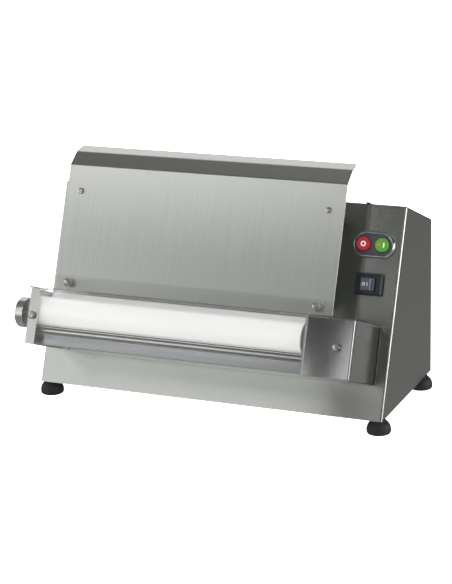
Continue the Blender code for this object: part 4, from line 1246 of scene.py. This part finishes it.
class SHEETER_OT_stage(bpy.types.Operator):
    """Set the pale floor, the studio light and the camera"""
    bl_idname = "sheeter.stage"
    bl_label = "Stage"
    bl_options = {"REGISTER", "UNDO"}

    def execute(self, context):
        scene = context.scene
        light = scene.sheeter_colours.light
        bpy.ops.object.select_all(action="DESELECT")
        bpy.ops.mesh.primitive_plane_add(size=14, location=(0, 0, 0))
        floor = named("floor")
        white = Finish("pale_floor", (0.86, 0.86, 0.86), 0.9)
        cloud = white.noise(white.place(), scale=3, detail=2.0)
        white.tint(cloud, 0.99, 1.0)
        white.set("Emission Color", (1, 1, 1, 1)).set("Emission Strength", 1.5)
        floor.data.materials.append(white.material)
        floor.visible_glossy = floor.visible_diffuse = floor.visible_shadow = False

        target = (0, -0.05, 0.2)
        for name, corners, radiance, right_radiance in (
                ("front_left_card", ((-1.9, 1.08), (-0.37, 0.77), (-0.315, 0.0), (-1.9, 0.0)), 1.40, 1.1),
                ("front_upper_card", ((-1.9, 1.9), (-0.52, 1.9), (-0.53, 1.20), (-1.9, 1.14)), 0.30, 2.9),
                ("front_low_card", ((-0.28, 0.58), (-0.12, 0.58), (-0.12, 0.0), (-0.30, 0.0)), 0.70, 0.45),
                ("front_middle_card", ((-0.282, 0.91), (-0.22, 0.91), (-0.20, 0.60), (-0.30, 0.60)), 0.95, 0.8),
                ("front_high_card", ((0.05, 2.1), (0.55, 2.1), (0.55, 1.35), (0.05, 1.35)), 2.2, 2.2)):
            glowing_card(name, corners, 1.65, radiance * light, right_radiance * light)
        panel_light("right_panel", (1.9, 0.35, 0.36), target, (1.5, 0.6), 5.0 * light)
        panel_light("left_panel", (-2.1, -0.5, 0.8), target, (1.6, 1.4), 1.4 * light)
        panel_light("right_soft_panel", (1.5, -0.95, 0.55), target, (0.6, 0.9), 1.4 * light)
        panel_light("rear_panel", (-0.9, 1.7, 1.7), target, (2.4, 1.4), 1.0 * light)
        studio_dome(1.36 * light)

        world = bpy.data.worlds.new("studio")
        scene.world = world
        world.use_nodes = True
        nodes, links = world.node_tree.nodes, world.node_tree.links
        nodes.clear()
        output = nodes.new("ShaderNodeOutputWorld")
        room, backdrop = nodes.new("ShaderNodeBackground"), nodes.new("ShaderNodeBackground")
        backdrop.inputs["Color"].default_value = (1, 1, 1, 1)
        backdrop.inputs["Strength"].default_value = 1.05
        height = nodes.new("ShaderNodeSeparateXYZ")
        links.new(nodes.new("ShaderNodeTexCoord").outputs["Generated"], height.inputs["Vector"])
        ramp = nodes.new("ShaderNodeValToRGB")
        shift = nodes.new("ShaderNodeMapRange")
        shift.inputs["From Min"].default_value = -1
        links.new(height.outputs["Z"], shift.inputs["Value"])
        links.new(shift.outputs["Result"], ramp.inputs["Fac"])
        ramp.color_ramp.elements[0].color = (0.38, 0.38, 0.37, 1)
        ramp.color_ramp.elements[1].color = (0.21, 0.21, 0.21, 1)
        for place, shade in ((0.35, 0.20), (0.5, 0.11), (0.7, 0.045), (0.85, 0.07)):
            ramp.color_ramp.elements.new(place).color = (shade, shade, shade * 0.97, 1)
        links.new(ramp.outputs["Color"], room.inputs["Color"])
        mix = nodes.new("ShaderNodeMixShader")
        links.new(nodes.new("ShaderNodeLightPath").outputs["Is Camera Ray"], mix.inputs["Fac"])
        links.new(room.outputs["Background"], mix.inputs[1])
        links.new(backdrop.outputs["Background"], mix.inputs[2])
        links.new(mix.outputs["Shader"], output.inputs["Surface"])
        scene.view_settings.view_transform = "Standard"

        camera = bpy.data.objects.new("camera", bpy.data.cameras.new("camera"))
        scene.collection.objects.link(camera)
        aim = Vector((0.032677, -0.067675, 0.204522))
        azimuth, elevation, roll = math.radians(23.431), math.radians(16.886), math.radians(-1.596)
        level = math.cos(elevation)
        back = Vector((math.sin(azimuth) * level, -math.cos(azimuth) * level, math.sin(elevation)))
        right = (-back).cross(Vector((0, 0, 1))).normalized()
        above = right.cross(-back)
        across = right * math.cos(roll) + above * math.sin(roll)
        upward = above * math.cos(roll) - right * math.sin(roll)
        camera.matrix_world = axes(across, upward, back, aim + back * 3.0134)
        camera.data.sensor_width = 36
        camera.data.lens = 117.12
        camera.data.clip_start, camera.data.clip_end = 0.05, 60
        scene.camera = camera
        return {"FINISHED"}


class SHEETER_PT_panel(bpy.types.Panel):
    """Sidebar panel that lists the machine's pieces"""
    bl_idname = "SHEETER_PT_panel"
    bl_label = "Dough sheeter"
    bl_space_type = "VIEW_3D"
    bl_region_type = "UI"
    bl_category = "Sheeter"

    def draw(self, context):
        layout = self.layout
        for group in (context.scene.sheeter_sizes, context.scene.sheeter_colours):
            box = layout.box()
            for name in group.__annotations__:
                box.prop(group, name)
        column = layout.column()
        for operator in OPERATORS:
            column.operator(operator.bl_idname)


OPERATORS = (
    SHEETER_OT_finishes,
    SHEETER_OT_housing,
    SHEETER_OT_top_clip,
    SHEETER_OT_feet,
    SHEETER_OT_chute,
    SHEETER_OT_guard,
    SHEETER_OT_bracket,
    SHEETER_OT_gear_cover,
    SHEETER_OT_tie_plate,
    SHEETER_OT_scraper,
    SHEETER_OT_rollers,
    SHEETER_OT_knob,
    SHEETER_OT_screws,
    SHEETER_OT_rear_cover,
    SHEETER_OT_gland,
    SHEETER_OT_push_buttons,
    SHEETER_OT_rocker_switch,
    SHEETER_OT_stage,
)
CLASSES = (SheeterSizes, SheeterColours, *OPERATORS, SHEETER_PT_panel)


def register():
    for cls in CLASSES:
        bpy.utils.register_class(cls)
    bpy.types.Scene.sheeter_sizes = PointerProperty(type=SheeterSizes)
    bpy.types.Scene.sheeter_colours = PointerProperty(type=SheeterColours)


def unregister():
    del bpy.types.Scene.sheeter_colours
    del bpy.types.Scene.sheeter_sizes
    for cls in reversed(CLASSES):
        bpy.utils.unregister_class(cls)


def main():
    register()
    for operator in OPERATORS:
        group, name = operator.bl_idname.split(".")
        getattr(getattr(bpy.ops, group), name)()


if __name__ == "__main__":
    main()
